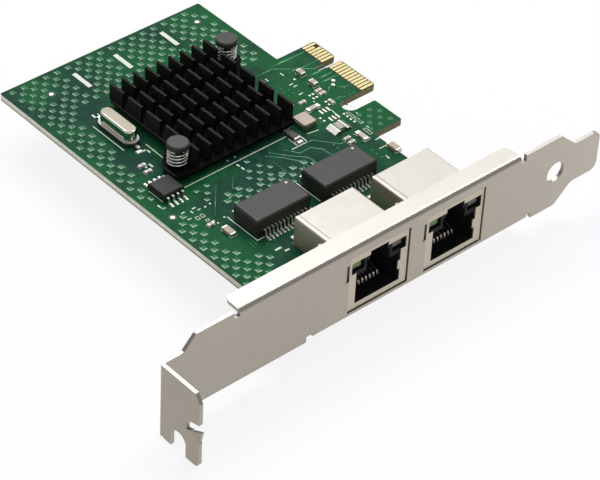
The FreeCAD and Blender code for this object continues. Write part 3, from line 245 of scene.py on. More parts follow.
def board_material():
    """Solder mask over laminate and copper, with cream and brown cut edges that carry painted shade low
    down.
    """
    g = Graph("solder_mask")
    x, y, z = g.place()
    soft = g.noise(70, 4.0, 0.6)
    fine = g.noise(420, 3.0)

    def inside(x0, x1, y0, y1, blur):
        """One inside the field and nothing outside."""
        low = at(x0, y0)
        high = at(x1, y1)
        edge = blur / 1000
        return g.product(
            g.ramp(x, low.x - edge, low.x + edge),
            g.ramp(x, high.x + edge, high.x - edge),
            g.ramp(y, low.y - edge, low.y + edge),
            g.ramp(y, high.y + edge, high.y - edge),
        )

    copper = g.ramp(soft, *COPPER_TURN)
    for field in COPPER_FIELDS:
        copper = g.math("MAXIMUM", copper, inside(*field))
    for field in BARE_FIELDS:
        copper = g.product(copper, g.math("SUBTRACT", 1.0, g.product(inside(*field), BARE_SHARE)))
    mask = g.mix(copper, MASK_BARE, MASK_COPPER)
    mask = g.mix(g.ramp(fine, 0.35, 0.75, 0.0, 0.35), mask, MASK_LIGHT)
    mask = g.mix(inside(*TAB_END_FIELD), mask, TAB_LAMINATE)
    # Painted shade on the lowest part of the cut edge, fading out upwards into the cream
    upper = g.ramp(z, *map(z_at, EDGE_SHADE_FADE))
    cream = g.mix(upper, EDGE_SHADE, g.mix(g.spread(fine), *EDGE_CREAM))
    brown = g.mix(g.spread(fine), *EDGE_BROWN)
    edge_colour = g.mix(g.ramp(x, *map(x_at, EDGE_TURNING)), cream, brown)
    upright = g.math("LESS_THAN", g.math("ABSOLUTE", g.facing("True Normal")[2]), 0.3)
    g.colour(g.mix(upright, mask, edge_colour))
    g.rough(g.spread(fine, 0.17, 0.26))
    g.set(IOR=1.5, Specular_IOR_Level=0.05)
    g.bump(g.math("ADD", g.product(copper, 0.5), fine), 0.15, 4e-5)
    return g.material


# Painted light on the rim's level faces and painted shade on its walls
RIM_TOP_PAINTED_LIGHT = (0.62, 0.61, 0.56)
RIM_WALL_PAINTED_SHADE = (0.3, 0.29, 0.25)
RIM_METAL = 0.3
RIM_BLUR = 0.00002


def drawn_metal(name, top, walls, top_rough, wall_rough, rim_height=None):
    """Drawn metal, with its light and shade painted by the way a face looks: one tone on level faces and one
    on walls, each with its own gloss, and a dull rim below rim_height.
    """
    g = Graph(name)
    g.set(Metallic=1.0)
    # Level faces and walls take separate tones by the way they look: painted light and shade
    level = g.ramp(g.facing()[2], 0.93, 0.99)
    level_tone = g.mix(g.ramp(g.noise(260), 0.35, 0.65), top, tuple(c * 0.94 for c in top))
    dull = level
    if rim_height is not None:
        rim = g.below(g.place()[2], rim_height, RIM_BLUR)
        level_tone = g.mix(rim, level_tone, RIM_TOP_PAINTED_LIGHT)
        walls = g.mix(rim, walls, RIM_WALL_PAINTED_SHADE)
        dull = g.math("MAXIMUM", level, rim)
        g.link(g.ramp(g.product(level, rim), 0.0, 1.0, 1.0, RIM_METAL), g.shader.inputs["Metallic"])
    g.colour(g.mix(level, walls, level_tone))
    g.rough(g.ramp(dull, 0.0, 1.0, wall_rough, top_rough))
    g.bump(g.noise(900, 1.0), 0.02, 1e-5)
    return g.material


# Painted sheen: the plate's tone grows paler between these x, from the screw tab's side to the tongue's
PLATE_SHEEN_SPAN = (58.7, 128.7)
PLATE_COLOURS = ((0.42, 0.382, 0.335), (0.5, 0.458, 0.4))
# Painted shade on the screw tab and painted light on the flanges' tops, both chosen by the way a face looks
SCREW_TAB_PAINTED_SHADE = (0.345, 0.31, 0.262)
FLANGE_PAINTED_LIGHT = (0.52, 0.5, 0.46)
WORN_PLATING = (0.36, 0.33, 0.29)


def bracket_metal():
    """Plated sheet steel, with a painted sheen that grows towards the tongue, painted light on the folded
    flanges' tops and painted shade on the screw tab.
    """
    g = Graph("bracket_steel")
    facing = g.facing()
    # Painted shade on faces that look to -x, the screw tab's, and painted light on faces that look up, the
    # flanges' tops
    tab = g.ramp(facing[0], -0.6, -0.95)
    level = g.ramp(facing[2], 0.9, 0.99)
    sheet = g.mix(g.ramp(g.place()[0], *map(x_at, PLATE_SHEEN_SPAN)), *PLATE_COLOURS)
    sheet = g.mix(tab, sheet, SCREW_TAB_PAINTED_SHADE)
    sheet = g.mix(level, sheet, FLANGE_PAINTED_LIGHT)
    soft = g.noise(130, 4.0, 0.6)
    g.colour(g.mix(g.ramp(soft, 0.35, 0.8, 0.0, 0.3), sheet, g.mix(0.5, sheet, WORN_PLATING)))
    fine = g.noise(1400)
    g.rough(g.spread(fine, 0.36, 0.43))
    g.set(Metallic=1.0)
    g.bump(fine, 0.03, 1e-5)
    return g.material


SINK_BASE_HEIGHT = 0.8
SINK_BASE_LEFT = 47.7
# Depths in metres of the painted highlights at the fins' tops, of the painted highlight line along the
# base's top on its left side, and of the face that bears it
FIN_EDGE = 0.0002
LIP_WIDTH = 0.0002
LIP_BLUR = 0.00002
SIDE_DEPTH = 0.0002
SINK_BLUR = 0.0001
SINK_COLOURS = ((0.016, 0.0155, 0.015), (0.024, 0.0225, 0.021))
SINK_SHADE = (0.004, 0.004, 0.004)
FIN_TOP_COLOUR = (0.028, 0.028, 0.027)
LIP_HIGHLIGHT_COLOUR = (0.16, 0.16, 0.155)
FIN_EDGE_HIGHLIGHTS = ((0.45, 0.45, 0.44), (0.6, 0.595, 0.58))


def anodised():
    """Black anodised aluminium, with painted shade on faces that look up or to the front, painted highlights
    along the fins' upper edges, and a painted highlight line along the base's top on its left side.
    """
    g = Graph("sink_aluminium")
    x, y, z = g.place()
    across, along, upward = g.facing("True Normal")
    fine = g.noise(1800)
    low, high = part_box("heatsink")
    fin_end = g.above(z, high.z - FIN_EDGE, SINK_BLUR)
    bevel = g.product(g.ramp(upward, 0.2, 0.32), g.ramp(upward, 0.99, 0.95))
    base = low.z + SINK_BASE_HEIGHT / 1000
    # Painted highlight: a pale line on the left face at the base's top, where its edge would catch the light
    lip_highlight = g.product(
        g.above(z, base - LIP_WIDTH, LIP_BLUR),
        g.below(z, base - LIP_BLUR, LIP_BLUR),
        g.ramp(across, -0.9, -0.98),
        g.below(x, x_at(SINK_BASE_LEFT) + SIDE_DEPTH, SINK_BLUR),
    )
    # Painted shade on faces that look up between the fins or to the front; the fins' own tops are spared it
    shaded = g.math("MAXIMUM", g.ramp(along, -0.5, -0.8), g.ramp(upward, 0.95, 0.99))
    black = g.mix(shaded, g.mix(g.spread(fine), *SINK_COLOURS), SINK_SHADE)
    black = g.mix(g.product(fin_end, shaded), black, FIN_TOP_COLOUR)
    black = g.mix(lip_highlight, black, LIP_HIGHLIGHT_COLOUR)
    # Painted highlights on the bevels along the fins' upper edges
    fin_edge_highlight = g.mix(g.spread(fine), *FIN_EDGE_HIGHLIGHTS)
    g.colour(g.mix(g.product(bevel, fin_end), black, fin_edge_highlight))
    g.rough(g.spread(fine, 0.44, 0.56))
    g.set(Specular_IOR_Level=0.03)
    g.bump(fine, 0.2, 2e-5)
    return g.material


def lens(name, colour):
    """Tinted clear plastic of the lights."""
    g = Graph(name)
    depth = g.noise(500)
    g.colour(g.mix(g.spread(depth), colour, tuple(c * 0.7 for c in colour)))
    g.set(Roughness=0.3, Transmission_Weight=0.35, IOR=1.5)
    return g.material


# Two close tones, roughness, grain and relief
BARE_METALS = {
    "gold_contacts": ((0.58, 0.5, 0.275), (0.54, 0.46, 0.24), 0.4, 1500, 0.02),
    "jack_contacts": ((0.85, 0.8, 0.68), (0.78, 0.72, 0.58), 0.3, 1500, 0.05),
    "screw_steel": ((0.5, 0.5, 0.49), (0.42, 0.42, 0.4), 0.35, 900, 0.2),
    "tinned_leads": ((0.66, 0.66, 0.62), (0.56, 0.56, 0.53), 0.36, 1200, 0.06),
    "solder": ((0.72, 0.71, 0.64), (0.62, 0.61, 0.55), 0.36, 1500, 0.1),
    "spring_steel": ((0.8, 0.79, 0.76), (0.7, 0.69, 0.66), 0.25, 1500, 0.1),
}
COVERED_SURFACES = {
    "mask_raised": ((0.01, 0.135, 0.045), (0.016, 0.165, 0.06), 0.2, 700, 0.05),
    # The traces' lighter green is partly copper under the mask and partly a painted highlight on their edges
    "mask_trace": ((0.03, 0.2, 0.08), (0.04, 0.24, 0.105), 0.25, 700, 0.05),
    "mask_ring": ((0.012, 0.03, 0.02), (0.02, 0.04, 0.026), 0.4, 700, 0.05),
    "jack_plastic": ((0.008, 0.008, 0.009), (0.014, 0.014, 0.015), 0.5, 2500, 0.3),
    "case_plastic": ((0.02, 0.019, 0.017), (0.03, 0.028, 0.025), 0.45, 3000, 0.4),
    "package_plastic": ((0.012, 0.012, 0.013), (0.02, 0.02, 0.02), 0.5, 3000, 0.3),
    "thermal_pad": ((0.35, 0.37, 0.4), (0.42, 0.44, 0.46), 0.7, 2000, 0.3),
    "pin_plastic": ((0.018, 0.017, 0.015), (0.03, 0.028, 0.025), 0.45, 2200, 0.3),
    "insulator": ((0.012, 0.012, 0.012), (0.02, 0.02, 0.02), 0.5, 1500, 0.3),
    "memory_plastic": ((0.012, 0.012, 0.011), (0.02, 0.019, 0.017), 0.5, 2600, 0.5),
    "ceramic_base": ((0.05, 0.085, 0.05), (0.075, 0.11, 0.065), 0.25, 1500, 0.3),
    "fuse_ceramic": ((0.3, 0.33, 0.27), (0.2, 0.24, 0.18), 0.4, 1800, 0.3),
    "capacitor_ceramic": ((0.5, 0.41, 0.3), (0.42, 0.34, 0.25), 0.45, 1800, 0.1),
    "chip_ceramic": ((0.56, 0.5, 0.43), (0.48, 0.42, 0.36), 0.4, 1800, 0.1),
    "ferrite": ((0.03, 0.03, 0.032), (0.05, 0.05, 0.05), 0.4, 1800, 0.3),
    "fuse_label": ((0.5, 0.42, 0.38), (0.44, 0.37, 0.33), 0.5, 1800, 0.1),
    "marking": ((0.76, 0.8, 0.7), (0.68, 0.73, 0.62), 0.6, 1500, 0.3),
}
# Surfaces that throw back less light than the shader does by itself
SPECULAR_LEVELS = {"mask_raised": 0.35, "jack_plastic": 0.08, "memory_plastic": 0.35}
PRINCIPLED_SPECULAR = 0.5
# Tones of the level faces and the walls, which are painted light and shade on one metal, and roughness of
# each
SHIELD_PAINTED_FACES = ((0.5, 0.475, 0.43), (0.6, 0.54, 0.45), 0.36, 0.58)
CRYSTAL_PAINTED_FACES = ((0.3, 0.275, 0.22), (0.72, 0.7, 0.62), 0.42, 0.1)
CRYSTAL_RIM_HEIGHT = 0.42


def make_materials():
    """Every material by the name of its slot or piece."""
    crystal_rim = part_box("crystal_can")[0].z + CRYSTAL_RIM_HEIGHT / 1000
    materials = {
        "board": board_material(),
        "bracket_steel": bracket_metal(),
        "sink_aluminium": anodised(),
        "shield_nickel": drawn_metal("shield_nickel", *SHIELD_PAINTED_FACES),
        "crystal_steel": drawn_metal("crystal_steel", *CRYSTAL_PAINTED_FACES, crystal_rim),
        "lid_metal": plain("lid_metal", (0.42, 0.35, 0.29), (0.36, 0.3, 0.25), 0.5, 700, 0.1, Metallic=0.55),
        "green_lens": lens("green_lens", (0.17, 0.3, 0.06)),
        "clear_lens": lens("clear_lens", (0.14, 0.135, 0.125)),
    }
    for name, finish in BARE_METALS.items():
        materials[name] = plain(name, *finish, Metallic=1.0)
    for name, finish in COVERED_SURFACES.items():
        level = SPECULAR_LEVELS.get(name, PRINCIPLED_SPECULAR)
        materials[name] = plain(name, *finish, Specular_IOR_Level=level)
    return materials


MATERIALS = make_materials()

SLOT_OF = {entry["node"]: entry["material_slot"] for entry in frame["record"]["subparts"]}
# Width of the rounded edges of each node
BEVELS = {
    "circuit_board": 0.04,
    "bracket": 0.1,
    "bracket_screws": 0.08,
    "heatsink": 0.12,
    "transformer_1_body": 0.12,
    "transformer_2_body": 0.12,
    "memory_body": 0.06,
    "controller_package": 0.05,
    "oscillator_base": 0.05,
    "oscillator_lid": 0.07,
    "fuse_body": 0.06,
    "fuse_ends": 0.1,
    "ferrite_bead_bodies": 0.05,
    "ferrite_bead_ends": 0.1,
    "large_capacitor_bodies": 0.06,
    "large_capacitor_ends": 0.1,
    "medium_capacitor_bodies": 0.06,
    "medium_capacitor_ends": 0.08,
    "long_chip_bodies": 0.04,
    "long_chip_ends": 0.06,
    "small_resistor_bodies": 0.03,
    "small_resistor_ends": 0.05,
    "jack_1_housing": 0.08,
    "jack_2_housing": 0.08,
    "jack_1_shield": 0.05,
    "jack_2_shield": 0.05,
    "crystal_base": 0.05,
}


WELD_GAP = 1e-6
SHARP_ANGLE = 40


def soften(piece, width):
    """Small rounded edges with flat faces kept flat."""
    weld = piece.modifiers.new("weld", "WELD")
    weld.merge_threshold = WELD_GAP
    bevel = piece.modifiers.new("edges", "BEVEL")
    bevel.width = width / 1000
    bevel.segments = 2
    bevel.limit_method = "ANGLE"
    bevel.angle_limit = math.radians(SHARP_ANGLE)
    bevel.use_clamp_overlap = True
    piece.modifiers.new("normals", "WEIGHTED_NORMAL").keep_sharp = True


def dress_node(name, piece):
    """Give a node its material and its rounded edges."""
    in_jack = name in ("jack_1_contacts", "jack_2_contacts")
    material = MATERIALS["jack_contacts" if in_jack else SLOT_OF[name]]
    if piece.material_slots:
        for slot in piece.material_slots:
            slot.material = material
    else:
        piece.data.materials.append(material)
    if name in BEVELS:
        soften(piece, BEVELS[name])


for name, piece in NODES.items():
    dress_node(name, piece)


# Pieces on the board

def add_piece(name, mesh_data, material):
    """Finish a new piece: its material and the body it rides on."""
    mesh = bpy.data.meshes.new(name)
    mesh_data.to_mesh(mesh)
    mesh_data.free()
    piece = bpy.data.objects.new(name, mesh)
    bpy.context.scene.collection.objects.link(piece)
    mesh.materials.append(MATERIALS[material])
    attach(piece, "root")
    return piece


CORNERS = ((-1, -1), (1, -1), (1, 1), (-1, 1))
DOME_PROFILE = ((1.0, 0.0), (0.82, 0.7), (0.5, 0.97))
LINE_SLOPE_SHARE = 0.25
LINE_SLOPE = 1.2
PAD_SLOPE_SHARE = 0.15


def circle(x, y, radius, sides):
    """Points in even steps round a circle."""
    angles = [2 * math.pi * n / sides for n in range(sides)]
    return [(x + radius * math.cos(angle), y + radius * math.sin(angle)) for angle in angles]


def join_rings(bm, lower, upper):
    """Band of faces between two rings with as many points."""
    for n in range(len(lower)):
        m = (n + 1) % len(lower)
        bm.faces.new((lower[n], lower[m], upper[m], upper[n]))


def add_dome(bm, x, y, radius, height, sides):
    """Low round bump on the board."""
    centre = bm.verts.new(at(x, y, height))
    rings = []
    for reach, level in DOME_PROFILE:
        points = circle(x, y, radius * reach, sides)
        rings.append([bm.verts.new(at(*point, height * level)) for point in points])
    for lower, upper in zip(rings, rings[1:]):
        join_rings(bm, lower, upper)
    for n in range(sides):
        bm.faces.new((rings[-1][n], rings[-1][(n + 1) % sides], centre))


def add_frustum(bm, x, y, half_x, half_y, slope, height, base=0.0):
    """Low flat topped block with sloped edges: slope is how far its top is drawn in."""
    low = [bm.verts.new(at(x + sx * half_x, y + sy * half_y, base)) for sx, sy in CORNERS]
    high = [
        bm.verts.new(at(x + sx * (half_x - slope), y + sy * (half_y - slope), base + height))
        for sx, sy in CORNERS
    ]
    join_rings(bm, low, high)
    bm.faces.new(high)


def add_pad(bm, x, y, length, width, height, base=0.0):
    """Low rectangular block: length along x, width along y."""
    add_frustum(bm, x, y, length / 2, width / 2, min(length, width) * PAD_SLOPE_SHARE, height, base)


def add_line(bm, points, width, height, base=0.0):
    """Flat strip with sloped sides along points on the board."""
    points = [Vector(point) for point in points]
    left = []
    right = []
    for index, here in enumerate(points):
        before = points[max(index - 1, 0)]
        after = points[min(index + 1, len(points) - 1)]
        one = (here - before).normalized() if index else (after - here).normalized()
        two = (after - here).normalized() if index < len(points) - 1 else one
        normal = Vector((-one.y, one.x)) + Vector((-two.y, two.x))
        normal = normal * (2 / normal.length_squared)
        left.append(here + normal * width / 2)
        right.append(here - normal * width / 2)
    inset = min(LINE_SLOPE_SHARE * width, LINE_SLOPE * height)
    rows = []
    for a, b in zip(left, right):
        across = (b - a).normalized() * inset
        rows.append([
            bm.verts.new(at(*a, base)),
            bm.verts.new(at(*(a + across), base + height)),
            bm.verts.new(at(*(b - across), base + height)),
            bm.verts.new(at(*b, base)),
        ])
    for one, two in zip(rows, rows[1:]):
        for n in range(3):
            bm.faces.new((one[n], one[n + 1], two[n + 1], two[n]))
    bm.faces.new(rows[0][::-1])
    bm.faces.new(rows[-1])


def islands(piece):
    """Lowest and highest corner of each separate solid in a node."""
    bm = bmesh.new()
    bm.from_mesh(piece.data)
    bmesh.ops.remove_doubles(bm, verts=bm.verts, dist=WELD_GAP)
    left = set(bm.verts)
    boxes = []
    while left:
        stack = [left.pop()]
        points = []
        while stack:
            vertex = stack.pop()
            points.append(vertex.co.copy())
            for edge in vertex.link_edges:
                other = edge.other_vert(vertex)
                if other in left:
                    left.remove(other)
                    stack.append(other)
        low = Vector(min(p[i] for p in points) for i in range(3))
        high = Vector(max(p[i] for p in points) for i in range(3))
        boxes.append((low, high))
    bm.free()
    return sorted(boxes, key=lambda pair: tuple(pair[0]))


def smooth(piece):
    """Shade a piece's faces as one rounded surface."""
    for polygon in piece.data.polygons:
        polygon.use_smooth = True


# Parts of the board without the raised copper dots: x0, x1, y0, y1
DOT_FREE = (
    (47.2, 50.4, 83.4, 91.4),
    (58.6, 61.8, 83.4, 91.4),
    (72.0, 75.2, 83.8, 91.8),
    (38.9, 47.6, 59.5, 77.0),
    (41.0, 78.5, 43.0, 79.5),
    (35.6, 80, 41.5, 52.5),
    (38.0, 46.0, 50.0, 62.0),
    (31.8, 94, 38.6, 46.0),
    (33.5, 37.8, 38.2, 39.6),
    (37.0, 46.5, 28.0, 41.0),
    (37.2, 43.5, 23.5, 41.0),
    (38.3, 42.5, 19.5, 24.5),
    (41.0, 48.7, 0, 15.5),
    (43.0, 90.0, 0, 31.8),
    (70.5, 90, 30.5, 50),
    (76.0, 99, 42.9, 70.0),
    (78.0, 90, 16.0, 42.0),
    (52.0, 74.0, 36.5, 45.0),
)
# Grid of the square dots, every other place of it taken
DOT_STEP = (1.5, 1.733)
DOT_START = (33.1, 3.1)
DOT_END = (85.2, 93.2)
DOT_COLUMNS = 42
DOT_ROWS = 55
# The rows lean a little from the board's sides, on both sides of this y
DOT_LEAN = (0.0153, -0.004)
DOT_LEAN_FROM = 18
DOT_SIDE = 1.3
DOT_SLOPE = 0.3
DOT_HEIGHT = 0.09
FIDUCIALS = ((40.5, 87.5), (82.6, 89.0), (34.6, 38.8))
FIDUCIAL_CLEARANCE = 1.7
# Round dots on the hooked arm beside the contact tab
HOOK_DOT_START = (86.75, 35.75)
HOOK_DOT_COLUMNS = 5
HOOK_DOT_ROWS = 4
HOOK_DOT_RADIUS = 0.6
HOOK_DOT_HEIGHT = 0.05
HOOK_DOT_SIDES = 12


def grid(start, columns, rows):
    """Every other place of an even grid."""
    for column in range(columns):
        for row in range(rows):
            if (column + row) % 2 == 0:
                yield start[0] + DOT_STEP[0] * column, start[1] + DOT_STEP[1] * row


def takes_dot(x, y):
    """Whether the board has room for a dot here."""
    if x > DOT_END[0] or y > DOT_END[1]:
        return False
    if any(x0 < x < x1 and y0 < y < y1 for x0, x1, y0, y1 in DOT_FREE):
        return False
    return all(math.hypot(x - a, y - b) >= FIDUCIAL_CLEARANCE for a, b in FIDUCIALS)


def board_dots():
    """Even pattern of copper dots under the solder mask."""
    bm = bmesh.new()
    for x, y in grid(DOT_START, DOT_COLUMNS, DOT_ROWS):
        lean = y - DOT_LEAN_FROM
        x += DOT_LEAN[0] * lean
        y += DOT_LEAN[1] * lean
        if takes_dot(x, y):
            add_frustum(bm, x, y, DOT_SIDE / 2, DOT_SIDE / 2, DOT_SLOPE, DOT_HEIGHT)
    for x, y in grid(HOOK_DOT_START, HOOK_DOT_COLUMNS, HOOK_DOT_ROWS):
        add_dome(bm, x, y, HOOK_DOT_RADIUS, HOOK_DOT_HEIGHT, HOOK_DOT_SIDES)
    return add_piece("board_dots", bm, "mask_raised")


TRACES = (
    # from the controller to the second transformer
    ((62.9, 42.3), (65.3, 39.8), (67.6, 36.4), (67.9, 32.4)),
    ((64.3, 42.7), (66.6, 39.7), (69.7, 36.4), (69.9, 32.4)),
    ((67.4, 41.5), (69.2, 38.7), (72.2, 38.8), (73.9, 36.8), (74.4, 32.4)),
    ((72.7, 40.5), (74.3, 40.4), (78.1, 35.8), (79.3, 35.6)),
    # from the contact fingers to the controller
    ((94.1, 61.4), (88.8, 61.4), (84.2, 65.0), (79.0, 65.0)),
    ((86.3, 61.5), (88.6, 61.8), (91.6, 59.4), (94.1, 59.3)),
    ((90.7, 52.4), (89.8, 52.4), (88.4, 51.3)),
    ((93.9, 50.3), (92.2, 50.3), (91.6, 51.2)),
    ((87.8, 48.1), (89.0, 48.4), (90.2, 47.7)),
)
WIDE_TRACES = (
    ((84.1, 65.7), (93.9, 65.5)),
    ((88.8, 58.1), (93.9, 58.0)),
    ((89.9, 56.1), (94.0, 56.1)),
    ((89.2, 54.6), (94.1, 54.6)),
    ((47.1, 35.5), (48.2, 36.7), (51.0, 36.4)),
)
FINE_TRACES = (
    ((48.6, 41.7), (45.0, 37.7), (41.6, 33.7)),
    ((53.0, 41.4), (50.3, 38.5), (51.6, 36.7)),
    ((62.8, 40.2), (62.9, 33.0)),
    ((41.8, 24.0), (41.6, 20.6)),
    ((42.6, 24.0), (42.4, 20.9)),
)
# Traces of one kind, their width and their height
TRACE_KINDS = ((TRACES, 0.3, 0.035), (WIDE_TRACES, 0.5, 0.04), (FINE_TRACES, 0.16, 0.03))


def board_traces():
    """Raised copper lines under the solder mask."""
    bm = bmesh.new()
    for traces, width, height in TRACE_KINDS:
        for points in traces:
            add_line(bm, points, width, height)
    piece = add_piece("board_traces", bm, "mask_trace")
    smooth(piece)
    return piece


VIA_GROUPS = (
    # x, y, columns, rows, pitch
    (80.0, 44.0, 1, 2, 1.4),
    (88.5, 45.2, 1, 3, 1.2),
    (80.6, 55.4, 3, 2, 1.5),
    (79.6, 58.2, 2, 2, 1.3),
    (82.6, 70.2, 2, 3, 1.6),
    (79.6, 73.5, 2, 2, 1.6),
    (88.8, 60.0, 1, 2, 2.0),
    (91.5, 47.6, 2, 1, 1.2),
    (76.8, 33.8, 1, 3, 1.3),
    (82.0, 27.0, 1, 3, 1.5),
    (79.4, 21.0, 2, 2, 1.8),
    (44.4, 20.4, 2, 1, 2.0),
)
SQUARE_VIAS = (
    (58.5, 43.5),
    (59.8, 40.9),
    (61.3, 39.2),
    (56.9, 40.8),
    (58.4, 39.1),
    (59.7, 37.2),
    (61.2, 35.5),
    (55.4, 39.0),
    (56.9, 37.3),
    (46.8, 42.6),
    (43.8, 42.4),
    (45.3, 40.6),
    (43.8, 38.9),
    (35.0, 42.5),
)
VIA_RADIUS = 0.3
TRACE_END_RADIUS = 0.27
VIA_HEIGHT = 0.05
VIA_SIDES = 8
SQUARE_VIA_SIDE = 1.05
SQUARE_VIA_SLOPE = 0.26
SQUARE_VIA_HEIGHT = 0.08


def board_vias():
    """Small plated holes, filled and covered by the mask."""
    bm = bmesh.new()
    for x, y, columns, rows, pitch in VIA_GROUPS:
        for column in range(columns):
            for row in range(rows):
                place = (x + pitch * column, y + pitch * row)
                add_dome(bm, *place, VIA_RADIUS, VIA_HEIGHT, VIA_SIDES)
    half = SQUARE_VIA_SIDE / 2
    for x, y in SQUARE_VIAS:
        add_frustum(bm, x, y, half, half, SQUARE_VIA_SLOPE, SQUARE_VIA_HEIGHT)
    for points in TRACES:
        for x, y in (points[0], points[-1]):
            add_dome(bm, x, y, TRACE_END_RADIUS, VIA_HEIGHT, VIA_SIDES)
    return add_piece("board_vias", bm, "mask_raised")


MARK_LINES = (
    # around the controller
    ((42.6, 44.8), (71.05, 44.8)),
    ((45.4, 54.45), (45.5, 61.2)),
    # along the crystal
    ((40.5, 62.3), (40.5, 72.9)),
    # beside the memory chip
    ((36.1, 43.8), (36.1, 48.5)),
    # corners round the transformers
    ((43.4, 32.0), (43.4, 22.4), (45.2, 22.4)),
    ((58.8, 32.0), (58.8, 22.4)),
    ((61.9, 24.0), (61.9, 31.6)),
    ((77.3, 24.0), (77.3, 31.6)),
    # round the small parts near the controller
    ((68.7, 40.67), (73.1, 40.67)),
    ((70.5, 43.9), (70.5, 41.15)),
    ((73.1, 43.7), (73.1, 41.0)),
    ((74.9, 42.75), (77.7, 42.3)),
    ((84.56, 45.85), (84.4, 44.4), (84.1, 42.7)),
    ((84.4, 33.2), (84.4, 36.6)),
    ((83.6, 29.4), (86.0, 29.4)),
)
# Frames round small parts: x0, x1, y0, y1
MARK_FRAMES = (
    (86.4, 87.0, 40.95, 43.1),
    (86.4, 87.1, 38.3, 40.6),
    (85.4, 86.1, 34.3, 36.6),
    (38.05, 38.75, 34.9, 35.9),
    (39.35, 40.05, 34.9, 35.9),
    (39.2, 40.0, 33.4, 34.0),
)
# Short plain bars where the small labels stand: x, y, length along x, length along y
MARK_BARS = (
    (42.8, 75.6, 0.5, 1.2),
    (44.0, 75.4, 0.3, 1.0),
    (43.6, 59.7, 1.2, 0.5),
    (44.4, 58.9, 0.4, 1.0),
    (40.6, 55.6, 0.5, 1.6),
    (41.8, 54.9, 0.4, 1.3),
    (34.6, 43.2, 0.4, 1.1),
    (37.1, 38.6, 0.9, 0.3),
    (36.8, 37.6, 0.3, 0.8),
    (36.9, 36.2, 0.9, 0.3),
    (39.8, 38.4, 0.9, 0.3),
    (38.7, 37.7, 0.3, 0.8),
    (40.4, 37.4, 0.8, 0.3),
    (40.2, 32.7, 0.9, 0.4),
    (38.6, 32.0, 0.9, 0.4),
    (48.8, 87.4, 1.1, 6.0),
    (60.2, 87.4, 1.1, 6.0),
    (73.6, 87.8, 1.1, 6.0),
    (55.5, 46.2, 0.5, 0.5),
    (57.5, 46.2, 0.5, 0.5),
    (56.2, 43.6, 0.4, 0.9),
    (56.3, 42.2, 0.4, 1.0),
    (45.0, 17.8, 1.6, 0.5),
    (46.2, 16.4, 1.2, 0.5),
    (79.6, 62.8, 0.3, 1.4),
    (80.6, 62.6, 0.3, 1.1),
    (84.6, 62.2, 0.3, 1.2),
    (83.8, 58.2, 1.1, 0.3),
    (84.1, 57.2, 1.0, 0.3),
    (83.2, 54.3, 1.2, 0.3),
    (78.6, 52.2, 1.4, 0.3),
    (78.4, 53.2, 1.1, 0.3),
    (88.8, 43.9, 0.3, 1.1),
    (87.4, 44.6, 0.9, 0.3),
    (88.2, 41.4, 0.3, 1.0),
    (85.6, 32.2, 1.2, 0.3),
    (83.0, 26.2, 0.3, 1.2),
    (82.8, 22.8, 0.3, 1.0),
    (86.8, 36.4, 0.3, 1.2),
    (72.6, 46.6, 1.2, 0.3),
)
# x, y, radius
MARK_DOTS = (
    (61.4, 32.1, 0.25),
    (42.9, 32.3, 0.25),
    (83.6, 50.4, 0.2),
    (41.95, 37.3, 0.25),
    (43.4, 37.5, 0.25),
    (40.7, 31.65, 0.25),
)
PRINT_WIDTH = 0.25
FRAME_WIDTH = 0.14
PRINT_BASE = 0.004
PRINT_HEIGHT = 0.012
MARK_DOT_HEIGHT = 0.02
MARK_DOT_SIDES = 10
BODY_DOTS = ((56.9, 29.3), (75.4, 29.3))
BODY_DOT_RADIUS = 0.3
BODY_DOT_SIDES = 16


def board_marks():
    """Plain white printed lines, bars and dots."""
    bm = bmesh.new()
    for points in MARK_LINES:
        add_line(bm, points, PRINT_WIDTH, PRINT_HEIGHT, PRINT_BASE)
    for x0, x1, y0, y1 in MARK_FRAMES:
        for points in (((x0, y0), (x1, y0), (x1, y1)), ((x1, y1), (x0, y1), (x0, y0))):
            add_line(bm, points, FRAME_WIDTH, PRINT_HEIGHT, PRINT_BASE)
    for x, y, along_x, along_y in MARK_BARS:
        add_pad(bm, x, y, along_x, along_y, PRINT_HEIGHT, PRINT_BASE)
    for x, y, radius in MARK_DOTS:
        add_dome(bm, x, y, radius, MARK_DOT_HEIGHT, MARK_DOT_SIDES)
    return add_piece("board_marks", bm, "marking")


def body_dots():
    """White first pin dot on each transformer."""
    bm = bmesh.new()
    level = on_card(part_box("transformer_1_body")[1]).z + PRINT_HEIGHT
    for x, y in BODY_DOTS:
        points = circle(x, y, BODY_DOT_RADIUS, BODY_DOT_SIDES)
        bm.faces.new([bm.verts.new(at(*point, level)) for point in points])
    return add_piece("transformer_dots", bm, "marking")


# Bare round pads and the dark rings round them: radius, height and sides
FIDUCIAL_PAD = (0.55, 0.035, 18)
FIDUCIAL_RING = (0.95, 0.014, 18)


def fiducials():
    """Round bare pads that the placing machine looks for."""
    bm = bmesh.new()
    rings = bmesh.new()
    for x, y in FIDUCIALS:
        add_dome(bm, x, y, *FIDUCIAL_PAD)
        add_dome(rings, x, y, *FIDUCIAL_RING)
    add_piece("fiducial_rings", rings, "mask_ring")
    piece = add_piece("fiducials", bm, "solder")
    smooth(piece)
    return piece


# Feet on both sides of a body: feet on a side, pitch, reach from the middle, then a foot's solder
FOOT_ROWS = {
    "transformer_1_body": (12, 1.0, 5.35, 0.56, 1.4, 0.06),
    "transformer_2_body": (12, 1.0, 5.35, 0.56, 1.4, 0.06),
    "memory_body": (4, 1.27, 4.2, 0.62, 1.5, 0.08),
}
